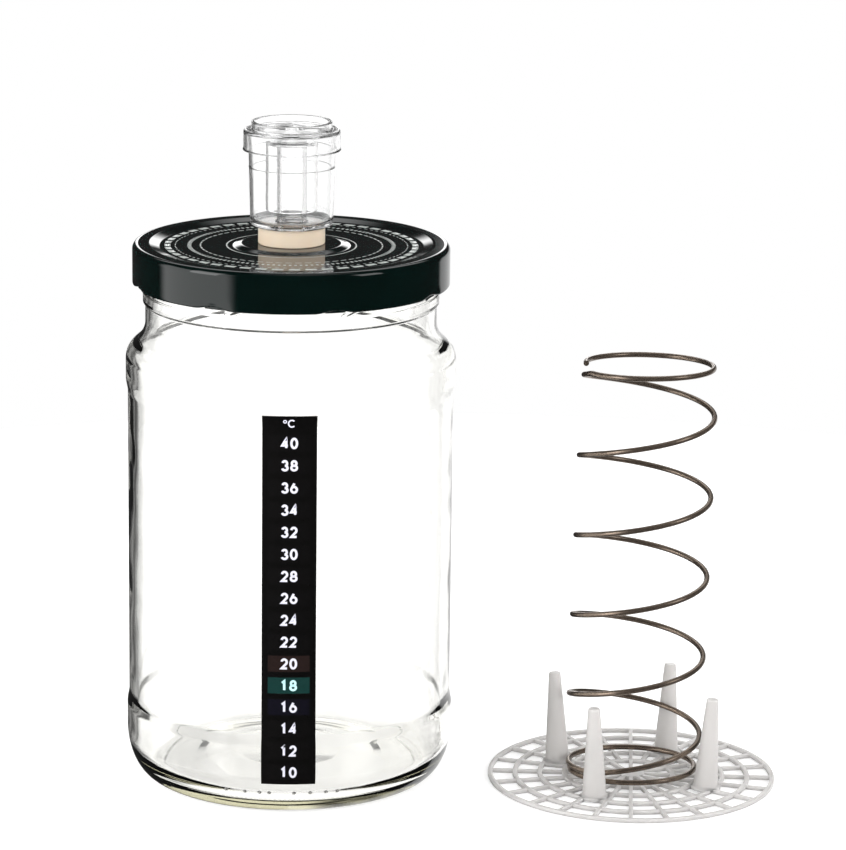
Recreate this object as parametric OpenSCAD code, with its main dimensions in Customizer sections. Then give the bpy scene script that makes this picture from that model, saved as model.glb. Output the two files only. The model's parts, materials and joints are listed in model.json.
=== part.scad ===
// Fermentation jar with a twist-off lid, a three-piece airlock, a strip thermometer
// and the spring press that stands beside the jar. Millimetres, +Z up, front towards -Y.
// The origin is on the ground, under the middle of the whole set.

/* [Jar glass] */
// Height of the glass from the ground to the rim
jar_h = 194.6; // [190:0.2:215]
// Outer radius of the finish that the lid goes over
finish_r = 52.8; // [48:0.1:58]
// Width of the rim, from the finish in to the mouth
rim_w = 2.9; // [2.4:0.1:3.6]
// How far the body stands out of the finish, at its shoulder band and heel band
shoulder_out = 6.7; // [6.1:0.1:11]
// Thickness of the body wall behind the label panel
jar_wall = 3.0; // [2.2:0.1:4]
// How far the neck is drawn in under the finish
neck_inset = 0.4; // [0.1:0.1:1]
// Height where the shoulder starts to turn in
shoulder_z = 154.7; // [140:0.1:156]
// Radius of the outward shoulder curve
shoulder_rad = 7.3; // [6.2:0.1:7.6]
// Slope of the shoulder between its two curves, in degrees
shoulder_slope = 49.6; // [44:0.2:52]
// Radius of the inward curve from shoulder to neck
neck_rad = 9.5; // [7:0.1:10]
// Depth of the label panel
panel_step = 0.7; // [0.3:0.1:1.2]
// Height of the slope between the panel and each band
step_h = 3.5; // [2:0.1:5]
// Height of the straight shoulder band
shoulder_band_h = 7.7; // [4:0.1:12]
// Height of the straight heel band
heel_band_h = 8.5; // [4:0.1:14]
// Height of the curved heel
heel_h = 18; // [14:0.2:22]
// How far the heel curves in
heel_in = 9.5; // [7:0.1:12]
// Width of the ring that the jar stands on
bearing_w = 4; // [2.5:0.1:6]
// Rise of the base from that ring in to the hollow
base_rise = 1.2; // [0.6:0.1:1.6]
// Radius of the hollow under the base
punt_r = 32; // [26:0.5:38]
// Width of the slope at the edge of the hollow
punt_slope_w = 1.6; // [1:0.1:3]
// Height of the hollow under the base, in the middle
punt_h = 4.2; // [3.5:0.1:6]
// How much of that height is the crown of the hollow
punt_crown = 0.8; // [0.4:0.1:1.5]
// Thickness of the base
base_t = 5; // [4:0.1:8]
// Radius of the curve inside, from wall to base
inner_heel_rad = 9; // [6:0.2:12]
// Radius of the rounded edges of the rim
rim_rad = 1.1; // [0.6:0.1:1.3]
// Height of the transfer bead
bead_h = 4.6; // [3:0.1:5.5]
// How far the transfer bead stands out of the finish
bead_out = 0.45; // [0.2:0.05:0.6]
// Drop from the rim to the top of the transfer bead
bead_drop = 14.8; // [14.4:0.1:17]

/* [Glass threads and lid lugs] */
// Number of thread stretches, and of lugs
lugs = 8; // [6:1:8]
// How far a thread stands out of the finish
thread_out = 1.6; // [1.2:0.05:2]
// Thickness of a thread at its root
thread_w = 1.9; // [1.4:0.1:2.2]
// Rise of a thread over each degree, where the lug runs under it
thread_rise = 0.06; // [0.02:0.01:0.1]
// Drop of the tail that ends a thread and stops the lug
tail_drop = 3.8; // [2.5:0.1:4.2]
// Length of a thread, in degrees, where the lug runs under it
thread_run = 18.5; // [15:0.5:19]
// Length of the tail, in degrees
tail_run = 14; // [10:0.5:15]
// Gap between a lug and the upper end of a thread, in degrees
thread_end_gap = 3.5; // [2.5:0.5:5]
// Angle from the front to the lug right of it
lug_a = 18; // [10:0.5:24]
// Width of a lug, in degrees
lug_span = 7.5; // [5:0.5:8]
// Radial gap between a lug and the finish
lug_gap = 0.75; // [0.6:0.05:1]
// Thickness of a lug
lug_t = 1.3; // [1:0.1:1.6]
// Height of a lug above the foot of the skirt
lug_lift = 0.1; // [0:0.05:0.3]
// Height of the bevels at a lug's tip
lug_bevel = 0.2; // [0.1:0.05:0.3]
// Gap between a lug and the thread that it runs under
thread_gap = 0.35; // [0.3:0.05:0.6]

/* [Twist-off lid] */
// How far the skirt stands out of the glass finish
lid_out = 4.2; // [3.8:0.1:5.2]
// Height of the lid
lid_h = 14.5; // [14:0.1:14.8]
// Thickness of the sheet, drawn heavier than the real 0.22
lid_t = 0.4; // [0.3:0.05:0.6]
// Radius of the rolled outer edge
lid_edge_rad = 2; // [1.5:0.1:2.4]
// Width of the raised ring round the top
ridge_w = 3.8; // [3:0.1:5]
// Width of the slope from the ring down to the panel
ridge_slope_w = 4.2; // [2:0.1:6]
// Depth of the panel below the ring
panel_depth = 1; // [0.6:0.05:1.4]
// Radius of the raised middle of the panel
button_r = 21; // [15:0.5:26]
// Height of the raised middle
button_h = 0.9; // [0.4:0.05:1.2]
// Width of the slope round the raised middle
button_slope_w = 3; // [1.5:0.1:4]
// Radius of the rolled hem at the foot of the skirt
hem_rad = 0.7; // [0.5:0.05:0.8]
// Thickness of the sealing ring
seal_t = 1.6; // [1.2:0.1:2]
// Gap left round the sealing ring
seal_gap = 0.05; // [0.03:0.01:0.1]

/* [Grommet] */
// Radius of the grommet's flanges
grommet_r = 12; // [11:0.1:14]
// Radius of the hole in the lid
lid_hole_r = 9.5; // [8.5:0.1:10.5]
// Height of the grommet above the lid
grommet_top_h = 6.6; // [4:0.1:9]
// Thickness of the flange under the lid
grommet_under_h = 2.4; // [1.5:0.1:4]
// Radius of the rounded upper edge
grommet_edge = 1; // [0.4:0.1:1.8]

/* [Airlock] */
// Radius of the cup at its foot
cup_r = 14.8; // [13.5:0.1:16]
// How much wider the cup is at its rim
cup_taper = 0.8; // [0.2:0.1:1.2]
// Height of the cup
cup_h = 33.45; // [32:0.05:40]
// Thickness of the cup's wall
cup_wall = 1.1; // [0.8:0.05:1.5]
// Thickness of the cup's floor
cup_floor = 1.4; // [1:0.1:2.2]
// Outer radius of the stem
stem_r = 5.35; // [4.6:0.05:5.9]
// Inner radius of the stem
stem_bore_r = 3.9; // [2.8:0.05:4.2]
// Length of the stem below the cup
stem_down = 15; // [12:0.1:17]
// Height of the stem above the underside of the cup
stem_up = 29.8; // [26:0.1:30.8]
// Radial running gap between the stem and the grommet
stem_fit = 0.05; // [0.02:0.01:0.08]
// Height of the moulded fill line above the cup's foot
fill_line_z = 21.1; // [16:0.1:25]
// How far the fill line stands out
fill_line_out = 0.3; // [0.2:0.05:0.4]
// Outer radius of the bell
bell_r = 9.35; // [8.2:0.05:10.5]
// Thickness of the bell
bell_wall = 0.95; // [0.8:0.05:1.2]
// Gap between the bell's foot and the cup's floor
bell_foot_gap = 4.2; // [2:0.1:6]
// Radial gap between the cup's rim and the cap
cap_gap = 0.4; // [0.3:0.05:0.6]
// Thickness of the cap
cap_wall = 1.3; // [1:0.1:1.6]
// Height of the cap's skirt
cap_skirt_h = 7.5; // [5:0.1:9]
// Radius of the raised ring on the cap
cap_ring_r = 14.45; // [12:0.05:15]
// Height of the raised ring above the skirt
cap_ring_h = 2.8; // [1.5:0.1:4]
// Number of vents in the cap, tapered slots that point outwards
vents = 3; // [2:1:3]
// Distance from the middle to the wide end of a vent
vent_in = 1.9; // [1.7:0.1:3]
// Width of a vent at that end
vent_w = 3.2; // [1.6:0.1:3.4]
// Distance from the middle to the tip of a vent
vent_out = 8.9; // [5:0.1:11]

/* [Strip thermometer] */
// Width of the strip, measured across
strip_w = 19.1; // [16:0.1:24]
// Height of the strip
strip_h = 134.4; // [100:0.2:134.6]
// Height of the strip's lower end above the ground
strip_z = 12.5; // [10:0.1:14]
// Thickness of the adhesive layer
glue_t = 0.1; // [0.08:0.01:0.15]
// Thickness of the film
film_t = 0.25; // [0.2:0.01:0.4]
// Depth of the liquid crystal cells in the film
cell_t = 0.1; // [0.08:0.01:0.15]
// Number of temperature cells
cells = 16; // [8:1:16]
// Step from one cell to the next
cell_pitch = 8; // [6.5:0.05:8.2]
// Height of a cell
cell_h = 5.9; // [4:0.1:6.2]
// Width of a cell, measured across
cell_w = 14.7; // [10:0.1:15]
// Height of the lowest cell's middle above the strip's lower end
first_cell = 4.6; // [3.5:0.1:6]
// Turn of the strip to the right of the jar's front, in degrees
strip_turn = 1.6; // [-5:0.1:5]

/* [Press plate] */
// Distance from the jar's axis to the press, to the right
press_dx = 125.9; // [118:0.1:150]
// Distance from the jar's axis to the press, to the back
press_dy = -8; // [-20:0.5:20]
// Radius of the plate
plate_r = 52.6; // [51:0.1:56]
// Thickness of the plate
plate_t = 1.5; // [1.2:0.1:2.5]
// Number of rings in the plate
rings = 5; // [3:1:5]
// Step from one ring to the next
ring_pitch = 9.1; // [8.2:0.1:9.6]
// Width of a ring
ring_w = 1.8; // [1.2:0.1:2.4]
// Number of spokes
spokes = 24; // [16:4:32]
// Width of a spoke
spoke_w = 1.5; // [1:0.1:1.8]
// Radius of the hub
hub_r = 5; // [3:0.1:6]
// Turn of the plate against the jar, in degrees
plate_turn = -2.7; // [-7:0.1:7]
// Number of posts
posts = 4; // [3:1:6]
// Direction of the first post, in degrees
post_a = 64.2; // [50:0.1:80]
// Height of a post above the plate
post_h = 33.3; // [20:0.1:50]
// Radius of a post at its foot
post_foot_r = 4.55; // [3.5:0.05:5]
// Radius of a post at its top
post_top_r = 2.1; // [1.5:0.05:2.6]
// Lean of a post away from the middle, in degrees
post_lean = 2.9; // [1:0.1:4]
// Gap between the foot of a post and the spring
post_gap = 0.55; // [0.4:0.05:2]

/* [Press spring] */
// Thickness of the wire
wire_d = 2; // [1.6:0.1:2.4]
// Radius of the open turns, to the middle of the wire
coil_r = 24.2; // [22:0.05:26]
// Number of open turns
coil_turns = 5; // [4:1:7]
// Height of one open turn
coil_pitch = 29.6; // [20:0.1:30]
// How much smaller the closed turn at the foot is, in radius
foot_draw = 1.4; // [0.6:0.1:2]
// How much smaller the closed turn at the top is, in radius
top_draw = 1.1; // [0.6:0.1:2]
// Share of a turn that the foot stays closed past its first turn
foot_more = 0.14; // [0:0.01:0.2]
// Gap between a closed end turn and the next one
end_gap = 0.45; // [0.43:0.01:0.8]
// Lean of the free coil to the right, in degrees
coil_lean = 1.3; // [0.6:0.1:1.8]
// Lean of the free coil to the back, in degrees
coil_back = 3.4; // [2.6:0.1:3.8]
// How far the foot of the coil stands to the right of the plate's middle
coil_dx = 0.4; // [0:0.1:0.6]
// How far the foot of the coil stands behind the plate's middle
coil_dy = 1; // [0.5:0.1:1.2]

/* [Hidden] */
$fn = 96;

// Overlap that makes cuts clean
eps = 0.05;

// Radii that follow from the finish
jar_r = finish_r + shoulder_out;
mouth_r = finish_r - rim_w;
lid_r = finish_r + lid_out;

// Where the jar and the press stand: the set is centred on the origin
set_x0 = -jar_r;
set_x1 = press_dx + plate_r;
set_y0 = min(-jar_r, press_dy - plate_r);
set_y1 = max(jar_r, press_dy + plate_r);
jar_x = -(set_x0 + set_x1) / 2;
jar_y = -(set_y0 + set_y1) / 2;

// Jar glass
panel_r = jar_r - panel_step;
inner_r = panel_r - jar_wall;
neck_r = finish_r - neck_inset;
bead_r = finish_r + bead_out;
bead_top_z = jar_h - bead_drop;
bead_z = bead_top_z - bead_h;
bearing_r = jar_r - heel_in;
panel_z0 = heel_h + heel_band_h + step_h;
panel_z1 = shoulder_z - shoulder_band_h - step_h;
shoulder_x = jar_r - shoulder_rad;
neck_x = neck_r + neck_rad;
slope_x0 = shoulder_x + shoulder_rad * cos(shoulder_slope);
slope_x1 = neck_x - neck_rad * cos(shoulder_slope);
slope_z0 = shoulder_z + shoulder_rad * sin(shoulder_slope);
slope_z1 = slope_z0 + (slope_x0 - slope_x1) / tan(shoulder_slope);
neck_z = slope_z1 + neck_rad * sin(shoulder_slope);
inner_slope = shoulder_slope * 0.9;

// Lid: it rests on the sealing ring, which rests on the rim
lid_top_z = jar_h + seal_t + seal_gap + lid_t;
lid_foot_z = lid_top_z - lid_h;
lid_panel_z = lid_top_z - panel_depth;
button_z = lid_panel_z + button_h;
ridge_r = lid_r - lid_edge_rad - ridge_w;
panel_edge_r = ridge_r - ridge_slope_w;
seal_lap = 1;
lug_in_r = finish_r + lug_gap;
hem_fn = 24;
lug_z0 = lid_foot_z + lug_lift;
lug_z1 = lug_z0 + lug_t;

// Threads: the angles are those of the first thread, from the front towards the right
lug_step = 360 / lugs;
thread_a1 = lug_a - lug_span / 2 - thread_end_gap;
thread_a0 = thread_a1 - thread_run;
tail_a = thread_a0 - tail_run;
thread_z0 = lug_z1 + thread_gap + thread_w / 2;
thread_root = 0.6;
thread_crest = 0.45;
thread_steps = 14;
thread_least = 0.15;
tail_fade = 6;
end_fade = 4;

// Grommet and airlock, stacked on the lid
grommet_top_z = button_z + grommet_top_h;
grommet_foot_z = button_z - lid_t - grommet_under_h;
grommet_bore_r = stem_r + stem_fit;
cup_z = grommet_top_z;
cup_rim_r = cup_r + cup_taper;
cup_rim_z = cup_z + cup_h;
stem_top_z = cup_z + stem_up;
bell_top_z = stem_top_z + bell_wall;
bell_foot_z = cup_z + cup_floor + bell_foot_gap;
cap_in_r = cup_rim_r + cap_gap;
cap_out_r = cap_in_r + cap_wall;
cap_seat_z = cup_rim_z;
cap_step_z = cap_seat_z + cap_wall;
cap_foot_z = cap_step_z - cap_skirt_h;

// Strip thermometer, in layers that follow the glass: heights above its surface
film_top = glue_t + film_t;
cell_floor = film_top - cell_t;

// Press
post_at = coil_r + wire_d / 2 + post_gap + post_foot_r;
post_root = 1;
inner_ring_r = plate_r - (rings - 1) * ring_pitch;

// Spring: a closed turn, the open turns and a closed turn, as one tube. The foot stays
// closed to foot_closed turns, the top closes at top_closed, and the radius changes
// between the two counts of turns in each blend.
wire_r = wire_d / 2;
ring_steps = 24;
wire_sides = 6;
end_rise = wire_d + end_gap;
coil_seat = 0.05;
all_turns = coil_turns + 2;
foot_closed = 1 + foot_more;
top_closed = coil_turns + 1 + foot_more / 2;
foot_blend = [0.5, 1.5];
top_blend = [coil_turns + 0.75, coil_turns + 1.25];
coil_dt = 1 / 720;

// Points of an arc round c, from angle a0 to a1
function arc(c, rx, rz, a0, a1, n = 8) =
    [for (i = [0:n]) let (a = a0 + (a1 - a0) * i / n) [c[0] + rx * cos(a), c[1] + rz * sin(a)]];

// Points of a shallow dome of height h over radius r, from the rim (u0) to the middle (u1)
function dome(r, z, h, u0, u1, n = 6) =
    [for (i = [0:n]) let (u = u0 + (u1 - u0) * i / n) [r * u, z + h * (1 - u * u)]];

// Half section of the jar, outside from the middle of the base up and inside back down
function jar_section() = concat(
    dome(punt_r - punt_slope_w, punt_h - punt_crown, punt_crown, 0, 1),
    [[punt_r, base_rise], [bearing_r - bearing_w, 0]],
    [for (p = skin_table) [p[1], p[0]]],
    arc([shoulder_x, shoulder_z], shoulder_rad, shoulder_rad, 0, shoulder_slope),
    arc([neck_x, neck_z], neck_rad, neck_rad, 180 + shoulder_slope, 180),
    [
        [neck_r, bead_z - bead_out],
        [bead_r, bead_z + bead_out],
        [bead_r, bead_top_z - bead_out],
        [finish_r, bead_top_z]
    ],
    arc([finish_r - rim_rad, jar_h - rim_rad], rim_rad, rim_rad, 0, 90, 6),
    arc([mouth_r + rim_rad, jar_h - rim_rad], rim_rad, rim_rad, 90, 180, 6),
    arc(
        [neck_x, neck_z],
        neck_x - mouth_r,
        neck_x - mouth_r,
        180,
        180 + inner_slope
    ),
    arc(
        [shoulder_x, shoulder_z],
        inner_r - shoulder_x,
        inner_r - shoulder_x,
        inner_slope,
        0
    ),
    arc(
        [inner_r - inner_heel_rad, base_t + inner_heel_rad],
        inner_heel_rad,
        inner_heel_rad,
        0,
        -90
    ),
    dome(inner_r - inner_heel_rad, base_t, punt_h, 0.95, 0)
);

// Outer radius of the glass against height, from the heel to the shoulder
heel_pts = arc([bearing_r, heel_h], heel_in, heel_h, -90, 0, 10);
skin_table = concat(
    [for (p = heel_pts) [p[1], p[0]]],
    [
        [heel_h + heel_band_h, jar_r],
        [panel_z0, panel_r],
        [panel_z1, panel_r],
        [panel_z1 + step_h, jar_r]
    ]
);
function skin_r(z) = lookup(z, skin_table);
function skin_heights(z0, z1) =
    concat([z0], [for (p = skin_table) if (p[0] > z0 && p[0] < z1) p[0]], [z1]);

// Height of the first thread's middle at angle a
function thread_z(a) =
    a >= thread_a0
        ? thread_z0 + (a - thread_a0) * thread_rise
        : thread_z0 - tail_drop * (1 - cos(90 * (thread_a0 - a) / (thread_a0 - tail_a)));

// Share of the thread's full size at angle a: it fades out at both ends
function thread_size(a) =
    max(thread_least, min(1, (a - tail_a + 1) / tail_fade, (thread_a1 - a + 1) / end_fade));

// One ring of points round the thread at angle a: rooted inside the finish
function thread_ring(a) =
    let (
        k = thread_size(a),
        z = thread_z(a),
        w = thread_w / 2,
        r0 = finish_r - thread_root,
        r1 = finish_r + thread_out * k,
        c = [sin(a), -cos(a)]
    )
        [
            [c[0] * r0, c[1] * r0, z - w],
            [c[0] * r1, c[1] * r1, z - w * thread_crest],
            [c[0] * r1, c[1] * r1, z + w * thread_crest],
            [c[0] * r0, c[1] * r0, z + w]
        ];

// Radius of the coil against turns: the closed turns at both ends are drawn in
coil_radii = [
    [foot_blend[0], coil_r - foot_draw],
    [foot_blend[1], coil_r],
    [top_blend[0], coil_r],
    [top_blend[1], coil_r - top_draw]
];

// Height along the coil's axis after t turns, and the middle of the wire there
function coil_climb(t) =
    end_rise * min(t, foot_closed)
    + coil_pitch * max(0, min(t, top_closed) - foot_closed)
    + end_rise * max(0, t - top_closed);
function coil_point(t) =
    let (
        r = lookup(t, coil_radii),
        a = 180 + 360 * t,
        y = r * sin(a),
        h = coil_climb(t)
    )
        [
            r * cos(a) + h * tan(coil_lean),
            y * cos(coil_back) + h * sin(coil_back),
            h * cos(coil_back) - y * sin(coil_back)
        ];
function coil_dir(t, side) =
    let (d = side * (coil_point(t + side * coil_dt) - coil_point(t))) d / norm(d);

// The wire's path: it runs straight for one wire thickness at both ends
coil_path = concat(
    [coil_point(0) - wire_d * coil_dir(0, 1)],
    [for (i = [0:all_turns * ring_steps]) coil_point(i / ring_steps)],
    [coil_point(all_turns) + wire_d * coil_dir(all_turns, -1)]
);
coil_low = min([for (p = coil_path) p[2]]);

// Least gap between the wire and itself, over points at least half a turn apart
function coil_gap() =
    let (n = len(coil_path), apart = ring_steps / 2, reach = 3 * ring_steps)
        min([
            for (i = [0:n - 1])
                for (j = [i + apart:1:min(n - 1, i + reach)]) norm(coil_path[i] - coil_path[j])
        ]) - wire_d;

// Rings of points joined into one closed tube
module sweep(rings_of_points) {
    n = len(rings_of_points);
    m = len(rings_of_points[0]);
    points = [for (ring = rings_of_points) each ring];
    walls = [
        for (i = [0:n - 2])
            for (j = [0:m - 1])
                let (a = i * m + j, b = i * m + (j + 1) % m, c = a + m, d = b + m)
                    each [[a, c, b], [b, c, d]]
    ];
    start = [for (j = [1:m - 2]) [0, j, j + 1]];
    end = [for (j = [1:m - 2]) let (o = (n - 1) * m) [o, o + j + 1, o + j]];
    polyhedron(points = points, faces = concat(walls, start, end), convexity = 10);
}

// A layer on the jar's front: w wide across, z0 to z1, from d0 to d1 above the glass
module front_layer(d0, d1, w, z0, z1) {
    span = 2 * asin(w / 2 / panel_r);
    heights = skin_heights(z0, z1);
    n = len(heights);
    rotate([0, 0, strip_turn - 90 - span / 2])
        rotate_extrude(angle = span)
            polygon(concat(
                [for (z = heights) [skin_r(z) + d0, z]],
                [for (i = [1:n]) let (z = heights[n - i]) [skin_r(z) + d1, z]]
            ));
}

// Every temperature cell, from d0 to d1 above the glass
module cell_layers(d0, d1) {
    for (i = [0:cells - 1]) {
        z = strip_z + first_cell + i * cell_pitch;
        front_layer(d0, d1, cell_w, z - cell_h / 2, z + cell_h / 2);
    }
}

// The jar: blown glass, with threads round its finish
module jar_glass() {
    color("azure", 0.35)
        translate([jar_x, jar_y, 0]) {
            rotate_extrude(convexity = 10) polygon(jar_section());
            for (i = [0:lugs - 1])
                rotate([0, 0, i * lug_step])
                    sweep([
                        for (s = [0:thread_steps])
                            thread_ring(tail_a + (thread_a1 - tail_a) * s / thread_steps)
                    ]);
        }
}

// The adhesive behind the strip
module thermometer_adhesive() {
    color("gainsboro")
        translate([jar_x, jar_y, 0]) front_layer(0, glue_t, strip_w, strip_z, strip_z + strip_h);
}

// The black film, with a pocket for each cell
module thermometer_strip() {
    color("black")
        translate([jar_x, jar_y, 0]) difference() {
            front_layer(glue_t, film_top, strip_w, strip_z, strip_z + strip_h);
            cell_layers(cell_floor, film_top + eps);
        }
}

// The liquid crystal cells
module thermometer_cells() {
    color("teal") translate([jar_x, jar_y, 0]) cell_layers(cell_floor, film_top);
}

// The sealing ring that lies in the lid's channel, on the rim of the glass
module lid_gasket() {
    seal_in_r = ridge_r - seal_lap;
    seal_out_r = lid_r - lid_edge_rad;
    color("dimgray")
        translate([jar_x, jar_y, jar_h])
            rotate_extrude()
                polygon([
                    [seal_in_r, 0],
                    [seal_out_r, 0],
                    [seal_out_r, seal_t],
                    [ridge_r, seal_t],
                    [seal_in_r, seal_t - seal_lap * panel_depth / ridge_slope_w]
                ]);
}

// Half section of the lid's sheet
function lid_section() = concat(
    [
        [lid_hole_r, button_z],
        [button_r - button_slope_w, button_z],
        [button_r, lid_panel_z],
        [panel_edge_r, lid_panel_z],
        [ridge_r, lid_top_z]
    ],
    arc([lid_r - lid_edge_rad, lid_top_z - lid_edge_rad], lid_edge_rad, lid_edge_rad, 90, 0),
    [
        [lid_r, lid_foot_z + hem_rad],
        [lid_r - lid_t, lid_foot_z + hem_rad]
    ],
    arc(
        [lid_r - lid_edge_rad, lid_top_z - lid_edge_rad],
        lid_edge_rad - lid_t,
        lid_edge_rad - lid_t,
        0,
        90
    ),
    [
        [ridge_r, lid_top_z - lid_t],
        [panel_edge_r, lid_panel_z - lid_t],
        [button_r, lid_panel_z - lid_t],
        [button_r - button_slope_w, button_z - lid_t],
        [lid_hole_r, button_z - lid_t]
    ]
);

// The pressed steel lid, with its rolled hem and lugs
module lid_shell() {
    color("#0a2a26")
        translate([jar_x, jar_y, 0]) {
            rotate_extrude(convexity = 10) polygon(lid_section());
            rotate_extrude() translate([lid_r - hem_rad, lid_foot_z + hem_rad]) circle(hem_rad, $fn = hem_fn);
            for (i = [0:lugs - 1])
                rotate([0, 0, i * lug_step + lug_a - 90 - lug_span / 2])
                    rotate_extrude(angle = lug_span)
                        polygon([
                            [lug_in_r, lug_z0 + lug_bevel],
                            [lid_r - hem_rad, lug_z0],
                            [lid_r - hem_rad, lug_z1],
                            [lug_in_r, lug_z1 - lug_bevel]
                        ]);
        }
}

// The silicone grommet, clipped into the hole in the lid
module lid_grommet() {
    under_z = button_z - lid_t;
    color("antiquewhite")
        translate([jar_x, jar_y, 0])
            rotate_extrude(convexity = 10)
                polygon(concat(
                    [
                        [grommet_bore_r, grommet_foot_z],
                        [grommet_r - grommet_edge, grommet_foot_z],
                        [grommet_r, grommet_foot_z + grommet_edge],
                        [grommet_r, under_z],
                        [lid_hole_r, under_z],
                        [lid_hole_r, button_z],
                        [grommet_r, button_z]
                    ],
                    arc(
                        [grommet_r - grommet_edge, grommet_top_z - grommet_edge],
                        grommet_edge,
                        grommet_edge,
                        0,
                        90,
                        5
                    ),
                    [[grommet_bore_r, grommet_top_z]]
                ));
}

// The airlock's cup, in one piece with the stem
module airlock_cup() {
    color("aliceblue", 0.5)
        translate([jar_x, jar_y, 0]) {
            rotate_extrude(convexity = 10)
                polygon([
                    [stem_bore_r, cup_z - stem_down],
                    [stem_r, cup_z - stem_down],
                    [stem_r, cup_z],
                    [cup_r, cup_z],
                    [cup_rim_r, cup_rim_z],
                    [cup_rim_r - cup_wall, cup_rim_z],
                    [cup_r - cup_wall, cup_z + cup_floor],
                    [stem_r, cup_z + cup_floor],
                    [stem_r, stem_top_z],
                    [stem_bore_r, stem_top_z]
                ]);
            fill_r = cup_r + cup_taper * fill_line_z / cup_h;
            translate([0, 0, cup_z + fill_line_z])
                rotate_extrude()
                    translate([fill_r - cup_wall / 2, 0])
                        square([cup_wall / 2 + fill_line_out, fill_line_out]);
        }
}

// The bell that rests on the stem and lifts as gas passes
module airlock_bell() {
    color("aliceblue", 0.5)
        translate([jar_x, jar_y, 0])
            rotate_extrude(convexity = 10)
                polygon([
                    [0, stem_top_z],
                    [bell_r - bell_wall, stem_top_z],
                    [bell_r - bell_wall, bell_foot_z],
                    [bell_r, bell_foot_z],
                    [bell_r, bell_top_z],
                    [0, bell_top_z]
                ]);
}

// The cap, with its raised ring and vents
module airlock_cap() {
    color("aliceblue", 0.5)
        translate([jar_x, jar_y, 0]) difference() {
            rotate_extrude(convexity = 10)
                polygon([
                    [0, cap_seat_z],
                    [cap_in_r, cap_seat_z],
                    [cap_in_r, cap_foot_z],
                    [cap_out_r, cap_foot_z],
                    [cap_out_r, cap_step_z],
                    [cap_ring_r, cap_step_z],
                    [cap_ring_r, cap_step_z + cap_ring_h],
                    [cap_ring_r - cap_wall, cap_step_z + cap_ring_h],
                    [cap_ring_r - cap_wall, cap_step_z],
                    [0, cap_step_z]
                ]);
            for (i = [0:vents - 1])
                rotate([0, 0, 90 + i * 360 / vents])
                    translate([0, 0, cap_seat_z - eps])
                        linear_extrude(cap_wall + 2 * eps)
                            polygon([[vent_in, -vent_w / 2], [vent_out, 0], [vent_in, vent_w / 2]]);
        }
}

// One spoke of the grille, from radius r0 out to the rim
module spoke(r0) {
    translate([r0, -spoke_w / 2]) square([plate_r - ring_w / 2 - r0, spoke_w]);
}

// The flat grille of the press: every second spoke runs on to the hub
module plate_grille() {
    for (i = [0:rings - 1]) {
        r = plate_r - i * ring_pitch;
        difference() {
            circle(r);
            circle(r - ring_w);
        }
    }
    circle(hub_r);
    for (i = [0:spokes - 1])
        rotate(i * 360 / spokes) spoke(i % 2 == 0 ? hub_r / 2 : inner_ring_r - ring_w / 2);
}

// One post: a cone that leans outwards, cut off level inside the plate
module post() {
    intersection() {
        translate([post_at, 0, 0])
            rotate([0, post_lean, 0])
                translate([0, 0, -post_root])
                    cylinder(h = post_h + plate_t + post_root, r1 = post_foot_r, r2 = post_top_r);
        translate([0, -plate_r, plate_t / 2])
            cube([plate_r, 2 * plate_r, post_h + plate_t]);
    }
}

// The press plate, moulded in one piece with its posts
module press_plate() {
    color("whitesmoke")
        translate([jar_x + press_dx, jar_y + press_dy, 0])
            rotate([0, 0, plate_turn]) {
                linear_extrude(plate_t) plate_grille();
                for (i = [0:posts - 1])
                    rotate([0, 0, post_a + i * 360 / posts])
                        post();
            }
}

// The press spring, standing on the plate inside the posts
module press_spring() {
    echo("press_spring: least gap of the wire to itself, mm", coil_gap());
    n = len(coil_path);
    frames = [
        for (i = [0:n - 1])
            let (
                d = coil_path[min(n - 1, i + 1)] - coil_path[max(0, i - 1)],
                t = d / norm(d),
                s0 = cross([0, 0, 1], t),
                s = s0 / norm(s0)
            )
                [coil_path[i], s, cross(t, s)]
    ];
    color("#6b5d50")
        translate([
            jar_x + press_dx + coil_dx,
            jar_y + press_dy + coil_dy,
            plate_t + coil_seat + wire_r - coil_low
        ])
            sweep([
                for (f = frames)
                    [
                        for (k = [0:wire_sides - 1])
                            let (a = -90 - 360 * k / wire_sides)
                                f[0] + wire_r * (cos(a) * f[1] + sin(a) * f[2])
                    ]
            ]);
}

jar_glass();
thermometer_adhesive();
thermometer_strip();
thermometer_cells();
lid_gasket();
lid_shell();
lid_grommet();
airlock_cup();
airlock_bell();
airlock_cap();
press_plate();
press_spring();
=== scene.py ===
"""Looks of a fermentation jar with a twist-off lid, an airlock, a strip thermometer and a spring press.

Outlines and places are in millimetres, in the frame's own axes, and MM turns them to metres.
Angles round the jar run from the front towards the right.
"""

import json
import math
from functools import partial

import bmesh
import bpy
from mathutils import Matrix, Vector


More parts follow.
